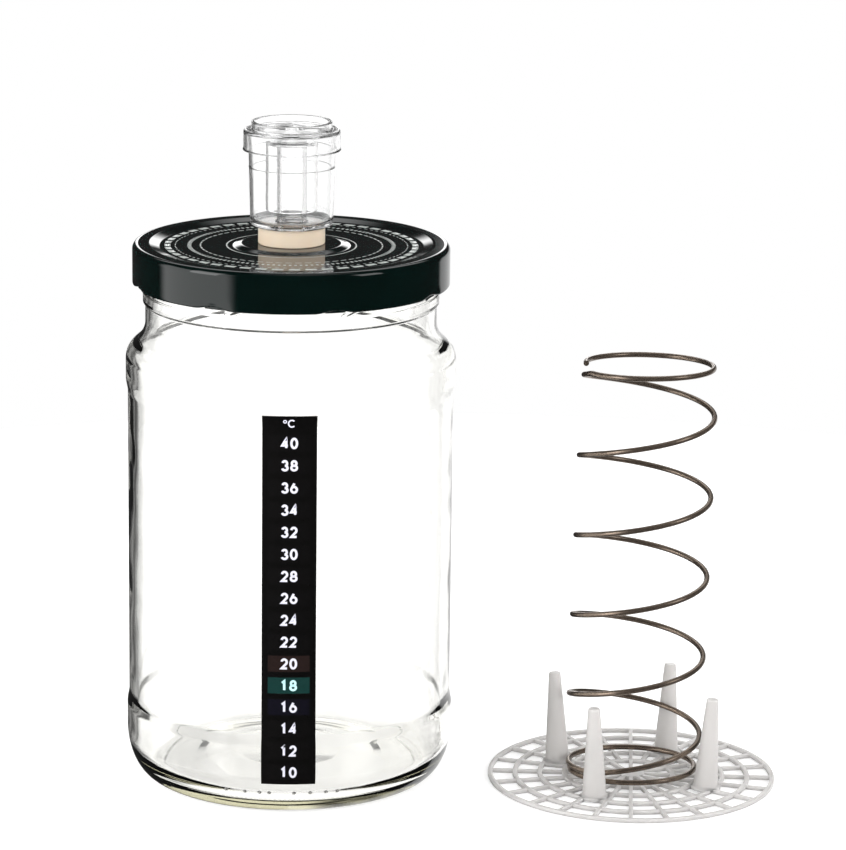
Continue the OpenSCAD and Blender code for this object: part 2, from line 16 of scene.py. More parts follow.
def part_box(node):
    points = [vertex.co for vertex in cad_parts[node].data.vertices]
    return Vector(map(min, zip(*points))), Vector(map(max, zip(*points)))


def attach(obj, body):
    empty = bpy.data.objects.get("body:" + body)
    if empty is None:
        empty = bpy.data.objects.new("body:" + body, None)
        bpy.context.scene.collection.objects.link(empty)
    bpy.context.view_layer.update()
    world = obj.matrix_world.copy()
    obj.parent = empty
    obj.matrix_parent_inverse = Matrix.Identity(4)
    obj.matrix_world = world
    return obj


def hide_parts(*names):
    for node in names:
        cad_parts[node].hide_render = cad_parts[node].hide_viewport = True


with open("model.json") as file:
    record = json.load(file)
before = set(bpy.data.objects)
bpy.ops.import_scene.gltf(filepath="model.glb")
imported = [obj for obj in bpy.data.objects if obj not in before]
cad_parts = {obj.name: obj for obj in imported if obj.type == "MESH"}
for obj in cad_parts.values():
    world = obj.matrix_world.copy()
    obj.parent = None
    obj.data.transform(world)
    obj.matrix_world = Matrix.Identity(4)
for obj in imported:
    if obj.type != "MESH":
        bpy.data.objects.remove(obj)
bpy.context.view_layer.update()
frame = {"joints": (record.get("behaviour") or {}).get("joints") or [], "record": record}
scene = bpy.context.scene

MM = 0.001
TAU = 2 * math.pi


def place(found):
    """The x and y of one of the frame's joints or mounts."""
    return [round(x / MM, 3) for x in found["pos_m"][:2]]


def top(node):
    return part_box(node)[1].z / MM


def foot(node):
    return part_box(node)[0].z / MM


# The jar's axis is the hinge of the lid, and the press has a mount of its own
JAR = place(next(j for j in frame["joints"] if j["type"] == "hinge"))
PRESS = place(next(m for m in frame["record"]["mounts"] if m["name"] == "press_base"))

# Jar glass, outside
JAR_TOP = top("jar_glass")
BAND_R = 59.5
PANEL_R = 58.8
LABEL_Z = (30, 143.5)
BAND_STEP = 3.5
BAND_RAD = 6
NECK_R = 52.4
FINISH_R = 52.8
BEAD_R = 53.25
BEAD_Z = (175.2, 179.8)
BEAD_SOFT = 0.45
RIM_RAD = 1.1
ROW_H = 0.22
# Centre (r, z) of the heel and of the shoulder, then radius; the heel's curve is as high as its centre
HEEL = (50.0, 18.0, 9.5)
SHOULDER = (52.2, 154.7, 7.3)
NECK_CURVE = (61.9, 9.5)
SHOULDER_SLOPE = math.radians(49.6)
INNER_SLOPE = math.radians(44.6)
# The hollow under the base, and the inner edge of the ring that the jar stands on
PUNT = ((0, 4.2), (20, 3.7, 24), (30.5, 2.6, 8), (33.5, 1.95, 4))
BEARING_IN = 46.0
# Inside, with the slow unevenness of a blown wall
INNER_R = 55.8
MOUTH_R = 49.9
INNER_HEEL_R = 9
FLOOR_Z = 5
FLOOR_DOME = 4.2
WALL_TOP = 150
WALL_STEP = 12.4
WALL_Z = (12, 160)
WAVE = 0.09
# Domes on the glass, each with width and height: stippling beside the ring, and the mould's dots
STIPPLE_R = 45.2
STIPPLES = 170
STIPPLE_SIZE = (1.1, 0.1)
MOULD_DOTS = (-20.5, -13.6, -8.4, -5.0, 3.6, 9.3, 14.8, 18.9)
DOT_SLOPE = math.radians(-29)
DOT_SIZE = (1.5, 0.9)
DOT_GAP = 0.03

# Glass threads: each starts, bends and ends at these degrees
LUGS = 8
THREAD_A = (-21.75, -7.75, 10.75)
THREAD_Z = 184.85
THREAD_W = 1.9
THREAD_OUT = 1.6
THREAD_RISE = 0.06
TAIL_DROP = 3.8

# Lid
LID_R = 57.0
LID_T = 0.4
LID_TOP = top("lid_shell")
LID_FOOT = foot("lid_shell")
PANEL_Z = LID_TOP - 1.0
BUTTON_Z = PANEL_Z + 0.9
BUTTON_R = 21.0
BUTTON_SLOPE = 3
PANEL_EDGE_R = 47.0
RIDGE_R = 51.2
EDGE_RAD = 2.0
HEM_RAD = 0.7
HOLE_R = 9.5
LUG_A = 18.0
LUG_SPAN = 7.5
LUG_R = 53.55
LUG_Z = (182.25, 183.55)
LUG_FOLD = 1.3
SEAL_T = (1.32, 1.55)
# The skirt's foot at a lug: half the width in degrees, the height, and how far in and up
DENT_A, DENT_H, DENT_IN, DENT_UP = 8, 5, 0.35, 0.95
# Print: radius, marks, length along the ring and width across it
PRINT_ROWS = (
    (44.4, 48, 4.0, 2.2),
    (41.6, 96, 1.3, 0.35),
    (36.6, 120, 0.9, 1.5),
    (32.6, 60, 2.3, 0.5),
    (23.2, 180, 0.85, 0.5),
)
PRINT_TURN = 7
INK_T = 0.02
INK_Z = PANEL_Z + 0.012

# Grommet and airlock
GROMMET_R = 12.0
GROMMET_TOP = top("lid_grommet")
GROMMET_FOOT = foot("lid_grommet")
STEM_R = 5.35
STEM_GAP = 0.05
BORE_R = 3.9
CUP_R = (14.8, 15.6)
CUP_WALL = 1.1
CUP_FLOOR = 1.4
CUP_FOOT = foot("airlock_cup")
CUP_TOP = top("airlock_cup")
FILL_LINE_Z = 21.1
FILL_LINE_SIZE = (0.16, 0.3)
BELL_R = 9.35
BELL_WALL = 0.95
BELL_FOOT = foot("airlock_bell")
BELL_TOP = top("airlock_bell")
CAP_R = (16.0, 17.3)
CAP_FOOT = foot("airlock_cap")
CAP_BEAD = 0.25
CAP_TOP = top("airlock_cap")
CAP_RING_R = (13.15, 14.45)
CAP_DISC_Z = CAP_TOP - 2.8
VENTS = 3
VENT_IN = 1.9
VENT_W = 3.2
VENT_OUT = 8.9
# Clear pieces that rest on another stand this far off it, so that no two faces coincide
REST_GAP = 0.02

# Strip thermometer: widths are measured across, depths above the glass
STRIP_W = 19.1
STRIP_Z = foot("thermometer_strip")
STRIP_H = top("thermometer_strip") - STRIP_Z
STRIP_TURN = math.radians(1.6)
GLUE_T = 0.1
FACE_D = GLUE_T + 0.25
CELL_D = (FACE_D - 0.05, FACE_D + 0.015)
FIGURE_D = FACE_D + 0.03
CELL_W = 14.7
CELL_H = 5.9
CELL_PITCH = 8.0
FIRST_CELL = 4.6
DIGIT_H = 4.1
DIGIT_W = 2.75
DIGIT_GAP = 0.42
DIGIT_STROKE = 0.82
SIGN_DROP = 3.9
LOWEST_C = 10
STEP_C = 2
READING_C = 18
CELLS = 16

# Press
PLATE_R = 52.6
PLATE_T = 1.5
RINGS = 5
RING_PITCH = 9.1
RING_W = 1.8
RING_SOFT = 0.28
SPOKES = 24
SPOKE_W = 1.5
SPOKE_SOFT = 0.25
HUB_R = 5.0
PLATE_TURN = math.radians(-2.7)
POSTS = 4
POST_A = 64.2
POST_AT = 30.3
POST_H = 33.3
POST_R = (4.55, 2.1)
POST_FLARE = 0.9
POST_LEAN = math.radians(2.9)
WIRE_R = 1.0
WIRE_SIDES = 16
COIL_R = 24.2
FOOT_TURN_R = 22.8
TOP_TURN_R = 23.1
COIL_TURNS = 7
COIL_STEPS = 96
COIL_PITCH = 29.6
END_RISE = 2.45
FOOT_CLOSED = 1.14
TOP_CLOSED = 6.07
COIL_LEAN = math.radians(1.3)
COIL_BACK = math.radians(3.4)
COIL_AT = (0.4, 1.0)

# Camera: place and turn found from the photograph's ellipses and edges
CAMERA_AT = (-11.6, -1404.05, 470.98)
CAMERA_PITCH = 0.2382
CAMERA_ROLL = 0.0124
FOCAL_PX = 3989.95
PHOTO_W, PHOTO_H = 846, 850
SENSOR = 36.0

# Light: what each clear surface gives back, the floor's own glow, and the fill on matt faces from
# the sides and from above a height in degrees
BOUNCES = 24
CLEAR_GAIN = 1.055
FLOOR_R = 560
FLOOR_DROP = 0.1
FLOOR_GREY = 0.8
FLOOR_GLOW = 0.5
FILL_SIDES = 2.4
FILL_ABOVE = 0.3
FILL_TOP = 35.0
# In reflections inside glass, a dark flag with folds stands in each third of the round: degrees
# round and up, and the width and the least depth of a fold
GLASS_BRIGHT = 1.3
GLASS_DARK = 0.12
FLAG = (9.0, 48.0)
FLAG_HEIGHT = (-32.0, 65.0)
FLAG_FOLD = 13.0
FOLD_LEAST = 0.72
# Gloss shows these on a dark ground: strength, bearings and their softness, heights and their
# softness, in degrees. Bearing 90 is to the right, 180 behind and 270 to the left
GLOSS_GROUND = 0.035
GLOSS_SHOWS = (
    (1.8, (256.0, 318.0), 5.0, (-32.0, 26.0), 5.0),  # softbox to the left
    (3.6, (173.0, 191.5), 2.0, (2.0, 17.0), 3.0),  # light strips behind
    (-3.6, (179.3, 185.6), 0.6, (2.0, 17.0), 3.0),  # gap between them
    (0.95, (138.0, 183.0), 3.0, (-90.0, 1.0), 3.0),  # lit table behind
    (1.6, (142.0, 218.0), 10.0, (34.0, 58.0), 5.0),  # softbox high up behind
)
# Lamps in metres: place, size and power
LAMP_AIM = (0, 0, 0.12)
LAMPS = {
    "softbox_left": ((-1.1, -0.55, 0.55), (0.5, 0.9), 4.0),
    "softbox_top": ((0.1, -0.1, 1.5), (0.8, 0.8), 1.0),
    "softbox_right": ((1.2, -0.7, 0.8), (0.5, 0.8), 3.5),
}


def rgb(code):
    """Linear colour from an sRGB hex code."""
    parts = [int(code[i:i + 2], 16) / 255 for i in (1, 3, 5)]
    return [c / 12.92 if c <= 0.04045 else ((c + 0.055) / 1.055) ** 2.4 for c in parts] + [1.0]


def share(value, start, end):
    """How far a value has come from start to end, from 0 to 1."""
    return min(1, max(0, (value - start) / (end - start)))


def on_ring(centre, r, a, z):
    """A point round a vertical axis."""
    return (centre[0] + r * math.sin(a), centre[1] - r * math.cos(a), z)


def arc(centre, radii, start, end, steps=12):
    """Points of an arc, angles in radians."""
    return [
        (centre[0] + radii[0] * math.cos(a), centre[1] + radii[1] * math.sin(a))
        for a in (start + (end - start) * i / steps for i in range(steps + 1))
    ]


def rounded(corners, closed=True, hold=0.3):
    """Outline through corners (r, z) or (r, z, radius), with holding points beside each rounding."""
    points = []
    for i, corner in enumerate(corners):
        here = Vector(corner[:2])
        radius = corner[2] if len(corner) > 2 else 0
        at_end = not closed and i in (0, len(corners) - 1)
        if not radius or at_end:
            points.append(here)
            continue
        back = Vector(corners[i - 1][:2]) - here
        ahead = Vector(corners[(i + 1) % len(corners)][:2]) - here
        half = back.angle(ahead) / 2
        cut = min(radius / math.tan(half), 0.42 * back.length, 0.42 * ahead.length)
        radius = cut * math.tan(half)
        u, v = back.normalized(), ahead.normalized()
        middle = here + (u + v).normalized() * radius / math.sin(half)
        first, last = u * cut + here - middle, v * cut + here - middle
        a0 = math.atan2(first.y, first.x)
        turn = (math.atan2(last.y, last.x) - a0 + math.pi) % TAU - math.pi
        steps = max(2, math.ceil(abs(turn) / math.radians(15)))
        reach = cut + min(hold, 0.08 * min(back.length, ahead.length))
        curve = arc(middle, (radius, radius), a0, a0 + turn, steps)
        points += [here + u * reach, *curve, here + v * reach]
    return [(p[0], p[1]) for p in points]


def linked(name, data):
    """An object in the scene."""
    made = bpy.data.objects.new(name, data)
    scene.collection.objects.link(made)
    return made


def evaluated(item):
    """The mesh of an object with its modifiers applied."""
    depsgraph = bpy.context.evaluated_depsgraph_get()
    return bpy.data.meshes.new_from_object(item.evaluated_get(depsgraph))


def absorb(bm, mesh):
    """Adds a mesh to a bmesh and removes it."""
    bm.from_mesh(mesh)
    bpy.data.meshes.remove(mesh)


def finished(name, bm, *materials, sharp=40, tidy=True):
    """A piece from a bmesh in millimetres: faces outwards, smooth but for sharp edges, in metres."""
    if tidy:
        bmesh.ops.remove_doubles(bm, verts=bm.verts, dist=1e-5)
        bmesh.ops.recalc_face_normals(bm, faces=bm.faces)
    bmesh.ops.scale(bm, vec=(MM, MM, MM), verts=bm.verts)
    mesh = bpy.data.meshes.new(name)
    bm.to_mesh(mesh)
    bm.free()
    mesh.shade_smooth()
    mesh.set_sharp_from_angle(angle=math.radians(sharp))
    for material in materials:
        mesh.materials.append(material)
    return linked(name, mesh)


def bridge(bm, one, other, closed=False):
    """Faces between two rows of points."""
    for k in range(len(one) if closed else len(one) - 1):
        j = (k + 1) % len(one)
        bm.faces.new([one[k], one[j], other[j], other[k]])


def turned(bm, outline, centre, steps=192, warp=None):
    """Turns an outline round a vertical axis. It is a closed loop, or runs from axis to axis."""
    rings = []
    for r, z in outline:
        ring = []
        for k in range(1 if r < 1e-6 else steps):
            a = TAU * k / steps
            rr, zz = warp(r, z, a) if warp else (r, z)
            ring.append(bm.verts.new(on_ring(centre, rr, a, zz)))
        rings.append(ring)
    loop = outline[0][0] > 1e-6
    for lower, upper in zip(rings, rings[1:] + rings[:1] * loop):
        for k in range(steps):
            corners = [lower[k % len(lower)], lower[(k + 1) % len(lower)]]
            corners += [upper[(k + 1) % len(upper)], upper[k % len(upper)]]
            # On the axis a ring is one point
            corners = list(dict.fromkeys(corners))
            if len(corners) > 2:
                bm.faces.new(corners)


def turned_piece(name, outline, material, sharp=40, steps=192):
    """A piece turned round the jar's axis."""
    bm = bmesh.new()
    turned(bm, outline, JAR, steps)
    return finished(name, bm, material, sharp=sharp)


def belongs(piece, body, slot, *nodes):
    """The piece rides on a body and stands for CAD nodes, which are hidden. slot is not used."""
    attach(piece, body)
    if nodes:
        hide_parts(*nodes)


# Nodes


def add(tree, kind, inputs=(), **settings):
    """Adds a node. Its inputs are values, sockets to link, or nodes whose first output is linked."""
    node = tree.nodes.new(kind)
    for key, value in settings.items():
        setattr(node, key, value)
    for key, value in dict(inputs).items():
        if isinstance(value, bpy.types.Node):
            value = value.outputs[0]
        if isinstance(value, bpy.types.NodeSocket):
            tree.links.new(value, node.inputs[key])
        else:
            node.inputs[key].default_value = value
    return node


def math_node(tree, operation, one, other=0.0):
    return add(tree, "ShaderNodeMath", {0: one, 1: other}, operation=operation)


def vector(tree, x=0.0, y=0.0, z=0.0):
    return add(tree, "ShaderNodeCombineXYZ", {"X": x, "Y": y, "Z": z})


def geometry_tree(name, inputs):
    """A Geometry Nodes tree with named inputs, and the sockets that give them."""
    tree = bpy.data.node_groups.new(name, "GeometryNodeTree")
    tree.interface.new_socket("Geometry", in_out="INPUT", socket_type="NodeSocketGeometry")
    tree.interface.new_socket("Geometry", in_out="OUTPUT", socket_type="NodeSocketGeometry")
    for label, kind in inputs.items():
        tree.interface.new_socket(label, in_out="INPUT", socket_type="NodeSocket" + kind)
    return tree, add(tree, "NodeGroupInput").outputs


def end_tree(tree, geometry, material):
    """The tree ends in real geometry with its material."""
    real = add(tree, "GeometryNodeRealizeInstances", {"Geometry": geometry})
    smooth = add(tree, "GeometryNodeSetShadeSmooth", {0: real})
    coated = add(tree, "GeometryNodeSetMaterial", {"Geometry": smooth, "Material": material})
    add(tree, "NodeGroupOutput", {"Geometry": coated})
    return tree


def grown(name, tree, values, mesh=None):
    """The plain mesh that a tree makes, each input set by its socket's identifier."""
    carrier = linked(name + "_carrier", mesh or bpy.data.meshes.new(name + "_carrier"))
    modifier = carrier.modifiers.new("grow", "NODES")
    modifier.node_group = tree
    for item in tree.interface.items_tree:
        if item.item_type == "SOCKET" and item.in_out == "INPUT" and item.name in values:
            modifier[item.identifier] = values[item.name]
    made = evaluated(carrier)
    bpy.data.objects.remove(carrier)
    made.name = name
    return made


# Materials


def empty_material(name):
    """An empty node material and its tree."""
    material = bpy.data.materials.new(name)
    material.use_nodes = True
    material.node_tree.nodes.clear()
    return material, material.node_tree


def noise(tree, scale, detail):
    """Noise in the piece's own coordinates."""
    where = add(tree, "ShaderNodeTexCoord").outputs["Object"]
    return add(tree, "ShaderNodeTexNoise", {"Vector": where, "Scale": scale, "Detail": detail})


def coating(name, look, mottle=None, relief=None, uneven=None, volume=None):
    """A material from the shader's settings. What varies comes from noise of a scale and detail.

    mottle goes on with the two colours that it mixes, relief with the strength of its bumps and
    their depth in metres, and uneven with the share by which the roughness goes up and down.
    volume is what the inside takes from light: its colour and density.
    """
    material, tree = empty_material(name)
    look = dict(look)
    if mottle:
        scale, detail, one, other = mottle
        look["Base Color"] = add(tree, "ShaderNodeMix", {
            "Factor": noise(tree, scale, detail), "A": rgb(one), "B": rgb(other),
        }, data_type="RGBA").outputs["Result"]
    if relief:
        scale, detail, strength, depth = relief
        look["Normal"] = add(tree, "ShaderNodeBump", {
            "Strength": strength, "Distance": depth, "Height": noise(tree, scale, detail),
        })
    if uneven:
        scale, detail, spread = uneven
        rough = look["Roughness"]
        look["Roughness"] = add(tree, "ShaderNodeMapRange", {
            "Value": noise(tree, scale, detail),
            "To Min": rough * (1 - spread),
            "To Max": rough * (1 + spread),
        })
    ends = {"Surface": add(tree, "ShaderNodeBsdfPrincipled", look)}
    if volume:
        code, density = volume
        ends["Volume"] = add(tree, "ShaderNodeVolumeAbsorption", {"Color": rgb(code), "Density": density})
    add(tree, "ShaderNodeOutputMaterial", ends)
    return material


def container_glass(name, code, density):
    """Soda-lime glass, blown in an iron mould, with ripples about 22 mm long. Its inside takes the
    colour and density given: a little olive where the jar's glass is thick, from iron in the melt,
    and for the small bumps a dark, dense painted shade."""
    look = {"Base Color": rgb("#ffffff"), "Roughness": 0.0, "IOR": 1.52, "Transmission Weight": 1.0}
    return coating(name, look, relief=(45.0, 1.0, 0.06, 0.004), volume=(code, density))


def polyester_film(name, code, roughness):
    """Polyester film, back-printed: a glossy face over a flat colour."""
    look = {"Base Color": rgb(code), "Roughness": roughness, "IOR": 1.5}
    return coating(name, look, uneven=(1200.0, 3.0, 0.2))


GLASS = container_glass("container_glass_blown", "#dfdcbe", 17.0)
# Small bumps throw light aside, so they look grey: dense dark glass paints that shade into them, as
# painted shade rather than the glass's own colour
BUMP_SHADE_GLASS = container_glass("container_glass_bumps_painted_shade", "#4a473f", 1100.0)
# Clear polystyrene, injection moulded: thin, glossy, with faint flow ripples
STYRENE = coating(
    "clear_polystyrene_moulded",
    {"Base Color": rgb("#fefefe"), "Roughness": 0.01, "IOR": 1.54, "Transmission Weight": 0.98},
    relief=(160.0, 1.0, 0.05, 0.001),
)
# Tinplate with dark green roller-coated lacquer, stoved to a high gloss, its orange peel 2 mm across
LACQUER = coating(
    "tinplate_green_lacquer",
    {"Roughness": 0.07, "IOR": 1.5},
    mottle=(60.0, 3.0, "#010605", "#02100e"),
    relief=(500.0, 2.0, 0.012, 0.0003),
)
# White printing ink under the varnish: thin, so the green shows through a little
INK = coating(
    "white_tin_printing_ink",
    {"Roughness": 0.25, "IOR": 1.5},
    mottle=(900.0, 2.0, "#9aa39f", "#d5dad6"),
)
# Cream silicone rubber, moulded: soft sheen, light goes a little way in
SILICONE = coating(
    "cream_silicone_moulded",
    {
        "Roughness": 0.42,
        "IOR": 1.41,
        "Subsurface Weight": 0.25,
        "Subsurface Radius": (1.0, 0.6, 0.35),
        "Subsurface Scale": 0.002,
    },
    mottle=(90.0, 2.0, "#d9c5ac", "#e0d1bd"),
    relief=(2500.0, 2.0, 0.15, 0.0001),
)
# Natural polypropylene, injection moulded: milky, light passes, satin skin
MILKY = coating(
    "natural_polypropylene_moulded",
    {
        "Roughness": 0.32,
        "IOR": 1.49,
        "Subsurface Weight": 0.8,
        "Subsurface Radius": (1.0, 1.0, 1.0),
        "Subsurface Scale": 0.004,
    },
    mottle=(70.0, 2.0, "#bebcba", "#cbc8c6"),
    relief=(1800.0, 2.0, 0.12, 0.0001),
)
# Stainless spring wire, drawn and coiled: brown-grey, with a fine grain and a brassy heat tint
WIRE = coating(
    "spring_wire_drawn",
    {"Metallic": 0.85, "Roughness": 0.27},
    mottle=(60.0, 2.0, "#736960", "#958475"),
    relief=(1400.0, 2.0, 0.06, 0.0001),
)
FILM = polyester_film("black_polyester_film", "#080606", 0.3)
GLUE = polyester_film("clear_acrylic_adhesive", "#b9b7b2", 0.5)
FIGURES = polyester_film("screen_printed_figures", "#d4d4e2", 0.4)
LIT_FIGURES = polyester_film("screen_printed_figures_lit", "#bdeff2", 0.4)
CELL_DARK = polyester_film("liquid_crystal_dark", "#0a0708", 0.35)
CELL_LIT = {
    18: polyester_film("liquid_crystal_green", "#003430", 0.35),
    20: polyester_film("liquid_crystal_brown", "#241512", 0.35),
    16: polyester_film("liquid_crystal_violet", "#0a0719", 0.35),
}
PLASTISOL = polyester_film("plastisol_seal", "#8e8a84", 0.6)


# Jar


def jar_outline():
    """Outer side of the jar, from the middle of the base up to the rim, and the neck's height."""
    heel_r, heel_z, heel_in = HEEL
    base = rounded([*PUNT, (BEARING_IN, 0, 2.5), (heel_r, 0)], closed=False)
    heel = arc((heel_r, heel_z), (heel_in, heel_z), -math.pi / 2, 0, 20)[1:]
    bands = rounded([
        heel[-1],
        (BAND_R, LABEL_Z[0] - BAND_STEP, BAND_RAD),
        (PANEL_R, LABEL_Z[0], BAND_RAD),
        (PANEL_R, LABEL_Z[1], BAND_RAD),
        (BAND_R, LABEL_Z[1] + BAND_STEP, BAND_RAD),
        (BAND_R, SHOULDER[1]),
    ], closed=False)[1:]
    sx, sz, s_rad = SHOULDER
    nx, n_rad = NECK_CURVE
    shoulder = arc((sx, sz), (s_rad, s_rad), 0, SHOULDER_SLOPE, 10)[1:]
    end = shoulder[-1]
    start_x = nx - n_rad * math.cos(SHOULDER_SLOPE)
    start_z = end[1] + (end[0] - start_x) / math.tan(SHOULDER_SLOPE)
    neck_z = start_z + n_rad * math.sin(SHOULDER_SLOPE)
    neck = arc((nx, neck_z), (n_rad, n_rad), math.pi + SHOULDER_SLOPE, math.pi, 10)
    bead = rounded([
        neck[-1],
        (NECK_R, BEAD_Z[0] - BEAD_SOFT, 0.5),
        (BEAD_R, BEAD_Z[0] + BEAD_SOFT, 0.5),
        (BEAD_R, BEAD_Z[1] - BEAD_SOFT, 0.5),
        (FINISH_R, BEAD_Z[1], 0.5),
        (FINISH_R, JAR_TOP - RIM_RAD),
    ], closed=False, hold=0.1)[1:-1]
    # Rows close enough to carry the threads
    low, high = BEAD_Z[1] + 0.4, JAR_TOP - RIM_RAD
    rows = round((high - low) / ROW_H)
    finish = [(FINISH_R, low + (high - low) * i / rows) for i in range(rows + 1)]
    return base + heel + bands + shoulder + neck + bead + finish, neck_z


JAR_SKIN, NECK_Z = jar_outline()
WALL = [(r, z) for r, z in JAR_SKIN if r > HEEL[0] and z < WALL_Z[1]]


def jar_inside():
    """Inner side of the jar, from the rim down to the middle of the base."""
    sx, sz, _ = SHOULDER
    nx, _ = NECK_CURVE
    rim_z = JAR_TOP - RIM_RAD
    rim = arc((FINISH_R - RIM_RAD, rim_z), (RIM_RAD, RIM_RAD), 0, math.pi / 2, 6)
    rim += arc((MOUTH_R + RIM_RAD, rim_z), (RIM_RAD, RIM_RAD), math.pi / 2, math.pi, 6)
    neck = arc((nx, NECK_Z), (nx - MOUTH_R, nx - MOUTH_R), math.pi, math.pi + INNER_SLOPE, 12)
    shoulder = arc((sx, sz), (INNER_R - sx, INNER_R - sx), INNER_SLOPE, 0, 8)
    walls = [(INNER_R, WALL_TOP - WALL_STEP * i) for i in range(12)]
    floor_r = INNER_R - INNER_HEEL_R
    heel = arc((floor_r, FLOOR_Z + INNER_HEEL_R), (INNER_HEEL_R, INNER_HEEL_R), 0, -math.pi / 2, 14)
    base = [
        (floor_r * (1 - i / 12), FLOOR_Z + FLOOR_DOME * (1 - (1 - i / 12) ** 2)) for i in range(1, 13)
    ]
    return rim + neck + shoulder + walls + heel + base


def thread_height(z, a):
    """How far the threads stand out of the finish at height z and angle a."""
    pitch = 360 / LUGS
    tail, bend, end = THREAD_A
    d = (math.degrees(a) - tail + 2) % pitch + tail - 2
    if d > end + 2:
        return 0
    if d >= bend:
        middle = THREAD_Z + (d - bend) * THREAD_RISE
    else:
        middle = THREAD_Z - TAIL_DROP * (1 - math.cos(math.pi / 2 * share(d, bend, tail)))
    size = min(share(d, tail - 1.5, tail + 4.5), share(d, end + 1.5, end - 2.5))
    across = abs(z - middle) / (THREAD_W / 2)
    return THREAD_OUT * size * share(across, 1.25, 0.45) ** 0.8


def jar_warp(r, z, a):
    """Threads outside, and the slow unevenness of a blown wall inside."""
    low, high = WALL_Z
    if z > BEAD_Z[1] and r > FINISH_R - 0.5:
        return r + thread_height(z, a), z
    if INNER_R - 4 < r < INNER_R + 0.5 and low < z < high:
        wave = math.sin(3 * a + 0.8 + z / 37) + 0.6 * math.sin(7 * a + 2 - z / 23)
        return r + WAVE * wave * min(share(z, low, low + 12), share(z, high, high - 10)), z
    return r, z


def jar_glass():
    bm = bmesh.new()
    turned(bm, JAR_SKIN + jar_inside(), JAR, 384, jar_warp)
    belongs(finished("jar_blown_glass", bm, GLASS, sharp=60), "jar", "glass", "jar_glass")


def bumps_tree():
    """Small low domes on the points of a mesh, turned to each point's normal."""
    tree, size = geometry_tree("glass_bumps", {"Width": "Float", "Height": "Float"})
    dome = add(tree, "GeometryNodeMeshUVSphere", {"Segments": 8, "Rings": 6, "Radius": 0.5})
    normal = add(tree, "GeometryNodeInputNamedAttribute", {"Name": "facing"}, data_type="FLOAT_VECTOR")
    bumps = add(tree, "GeometryNodeInstanceOnPoints", {
        "Points": size["Geometry"],
        "Instance": dome,
        "Rotation": add(tree, "FunctionNodeAlignRotationToVector", {"Vector": normal}, axis="Z"),
        "Scale": vector(tree, size["Width"], size["Width"], size["Height"]),
    })
    # The domes take dense dark glass: painted shade for the light that they throw aside
    return end_tree(tree, bumps, BUMP_SHADE_GLASS)


def glass_bumps(name, places, width, height):
    """Domes of glass that stand just off the jar, at (r, z, angle, slope of the normal)."""
    points, normals = [], []
    for r, z, a, slope in places:
        out = Vector(on_ring((0, 0), math.cos(slope), a, math.sin(slope)))
        points.append((Vector(on_ring(JAR, r, a, z)) + out * height / 2) * MM)
        normals.append(out)
    dots = bpy.data.meshes.new(name + "_points")
    dots.from_pydata(points, [], [])
    facing = dots.attributes.new("facing", "FLOAT_VECTOR", "POINT")
    for item, normal in zip(facing.data, normals):
        item.vector = normal
    mesh = grown(name, bumps_tree(), {"Width": width * MM, "Height": height * MM}, dots)
    belongs(linked(name, mesh), "jar", "glass")


def jar_marks():
    """The stippling beside the ring that the jar stands on, and the mould's dots at the heel."""
    hollow_r, hollow_z, _ = PUNT[-1]
    z = (BEARING_IN - STIPPLE_R) * hollow_z / (BEARING_IN - hollow_r) - REST_GAP
    ring = [(STIPPLE_R, z, TAU * i / STIPPLES, -math.pi / 2) for i in range(STIPPLES)]
    glass_bumps("jar_base_stippling", ring, *STIPPLE_SIZE)
    r = HEEL[0] + HEEL[2] * math.cos(DOT_SLOPE) + DOT_GAP
    z = HEEL[1] + HEEL[1] * math.sin(DOT_SLOPE)
    glass_bumps("jar_mould_dots", [(r, z, math.radians(a), DOT_SLOPE) for a in MOULD_DOTS], *DOT_SIZE)


# Strip thermometer


# Centre lines of each figure's strokes, in a box 1 wide and 1 high
STROKES = {
    "0": [arc((0.5, 0.5), (0.5, 0.5), 0, TAU, 40)],
    "1": [[(0.12, 0.8), (0.52, 1.0), (0.52, 0.0)]],
    "2": [
        arc((0.5, 0.7), (0.46, 0.3), math.radians(170), math.radians(-35), 20)
        + [(0.04, 0.0), (1.0, 0.0)]
    ],
    "3": [
        arc((0.48, 0.74), (0.4, 0.26), math.radians(165), math.radians(-90), 20),
        arc((0.48, 0.25), (0.48, 0.25), math.radians(90), math.radians(-165), 22),
    ],
    "4": [[(0.72, 0.0), (0.72, 1.0), (0.0, 0.27), (1.0, 0.27)]],
    "6": [arc((0.5, 0.31), (0.5, 0.31), 0, TAU, 36), [(0.07, 0.46), (0.55, 1.0)]],
    "8": [arc((0.5, 0.74), (0.4, 0.26), 0, TAU, 32), arc((0.5, 0.26), (0.5, 0.26), 0, TAU, 34)],
}


def skin_radius(z):
    """Outer radius of the glass at a height on the wall."""
    for (r0, z0), (r1, z1) in zip(WALL, WALL[1:]):
        if z0 <= z <= z1:
            return r0 + (r1 - r0) * (z - z0) / (z1 - z0 or 1)
    return PANEL_R


def front_vertex(bm, x, depth, z):
    """A vertex x across from the middle of the strip, at a depth above the glass."""
    return bm.verts.new(on_ring(JAR, skin_radius(z) + depth, x / PANEL_R + STRIP_TURN, z))


def front_sheet(bm, w, z0, z1, d0, d1, columns=24):
    """A sheet on the jar's front, w wide, z0 to z1, from d0 to d1 above the glass."""
    heights = [z0, *(z for _, z in WALL if z0 + 0.2 < z < z1 - 0.2), z1]
    across = [w * (k / columns - 0.5) for k in range(columns + 1)]
    back, face = ([[front_vertex(bm, x, d, z) for x in across] for z in heights] for d in (d0, d1))
    for side in (back, face):
        for low, high in zip(side, side[1:]):
            bridge(bm, low, high)
    for end in (0, -1):
        bridge(bm, [row[end] for row in back], [row[end] for row in face])
        bridge(bm, back[end], face[end])


def finer(line, step=0.45):
    """The same line with more points, so that it can follow the curved glass."""
    points = [line[0]]
    for one, other in zip(line, line[1:]):
        parts = math.ceil((other - one).length / step)
        points += [one.lerp(other, k / parts) for k in range(1, parts + 1)]
    return points


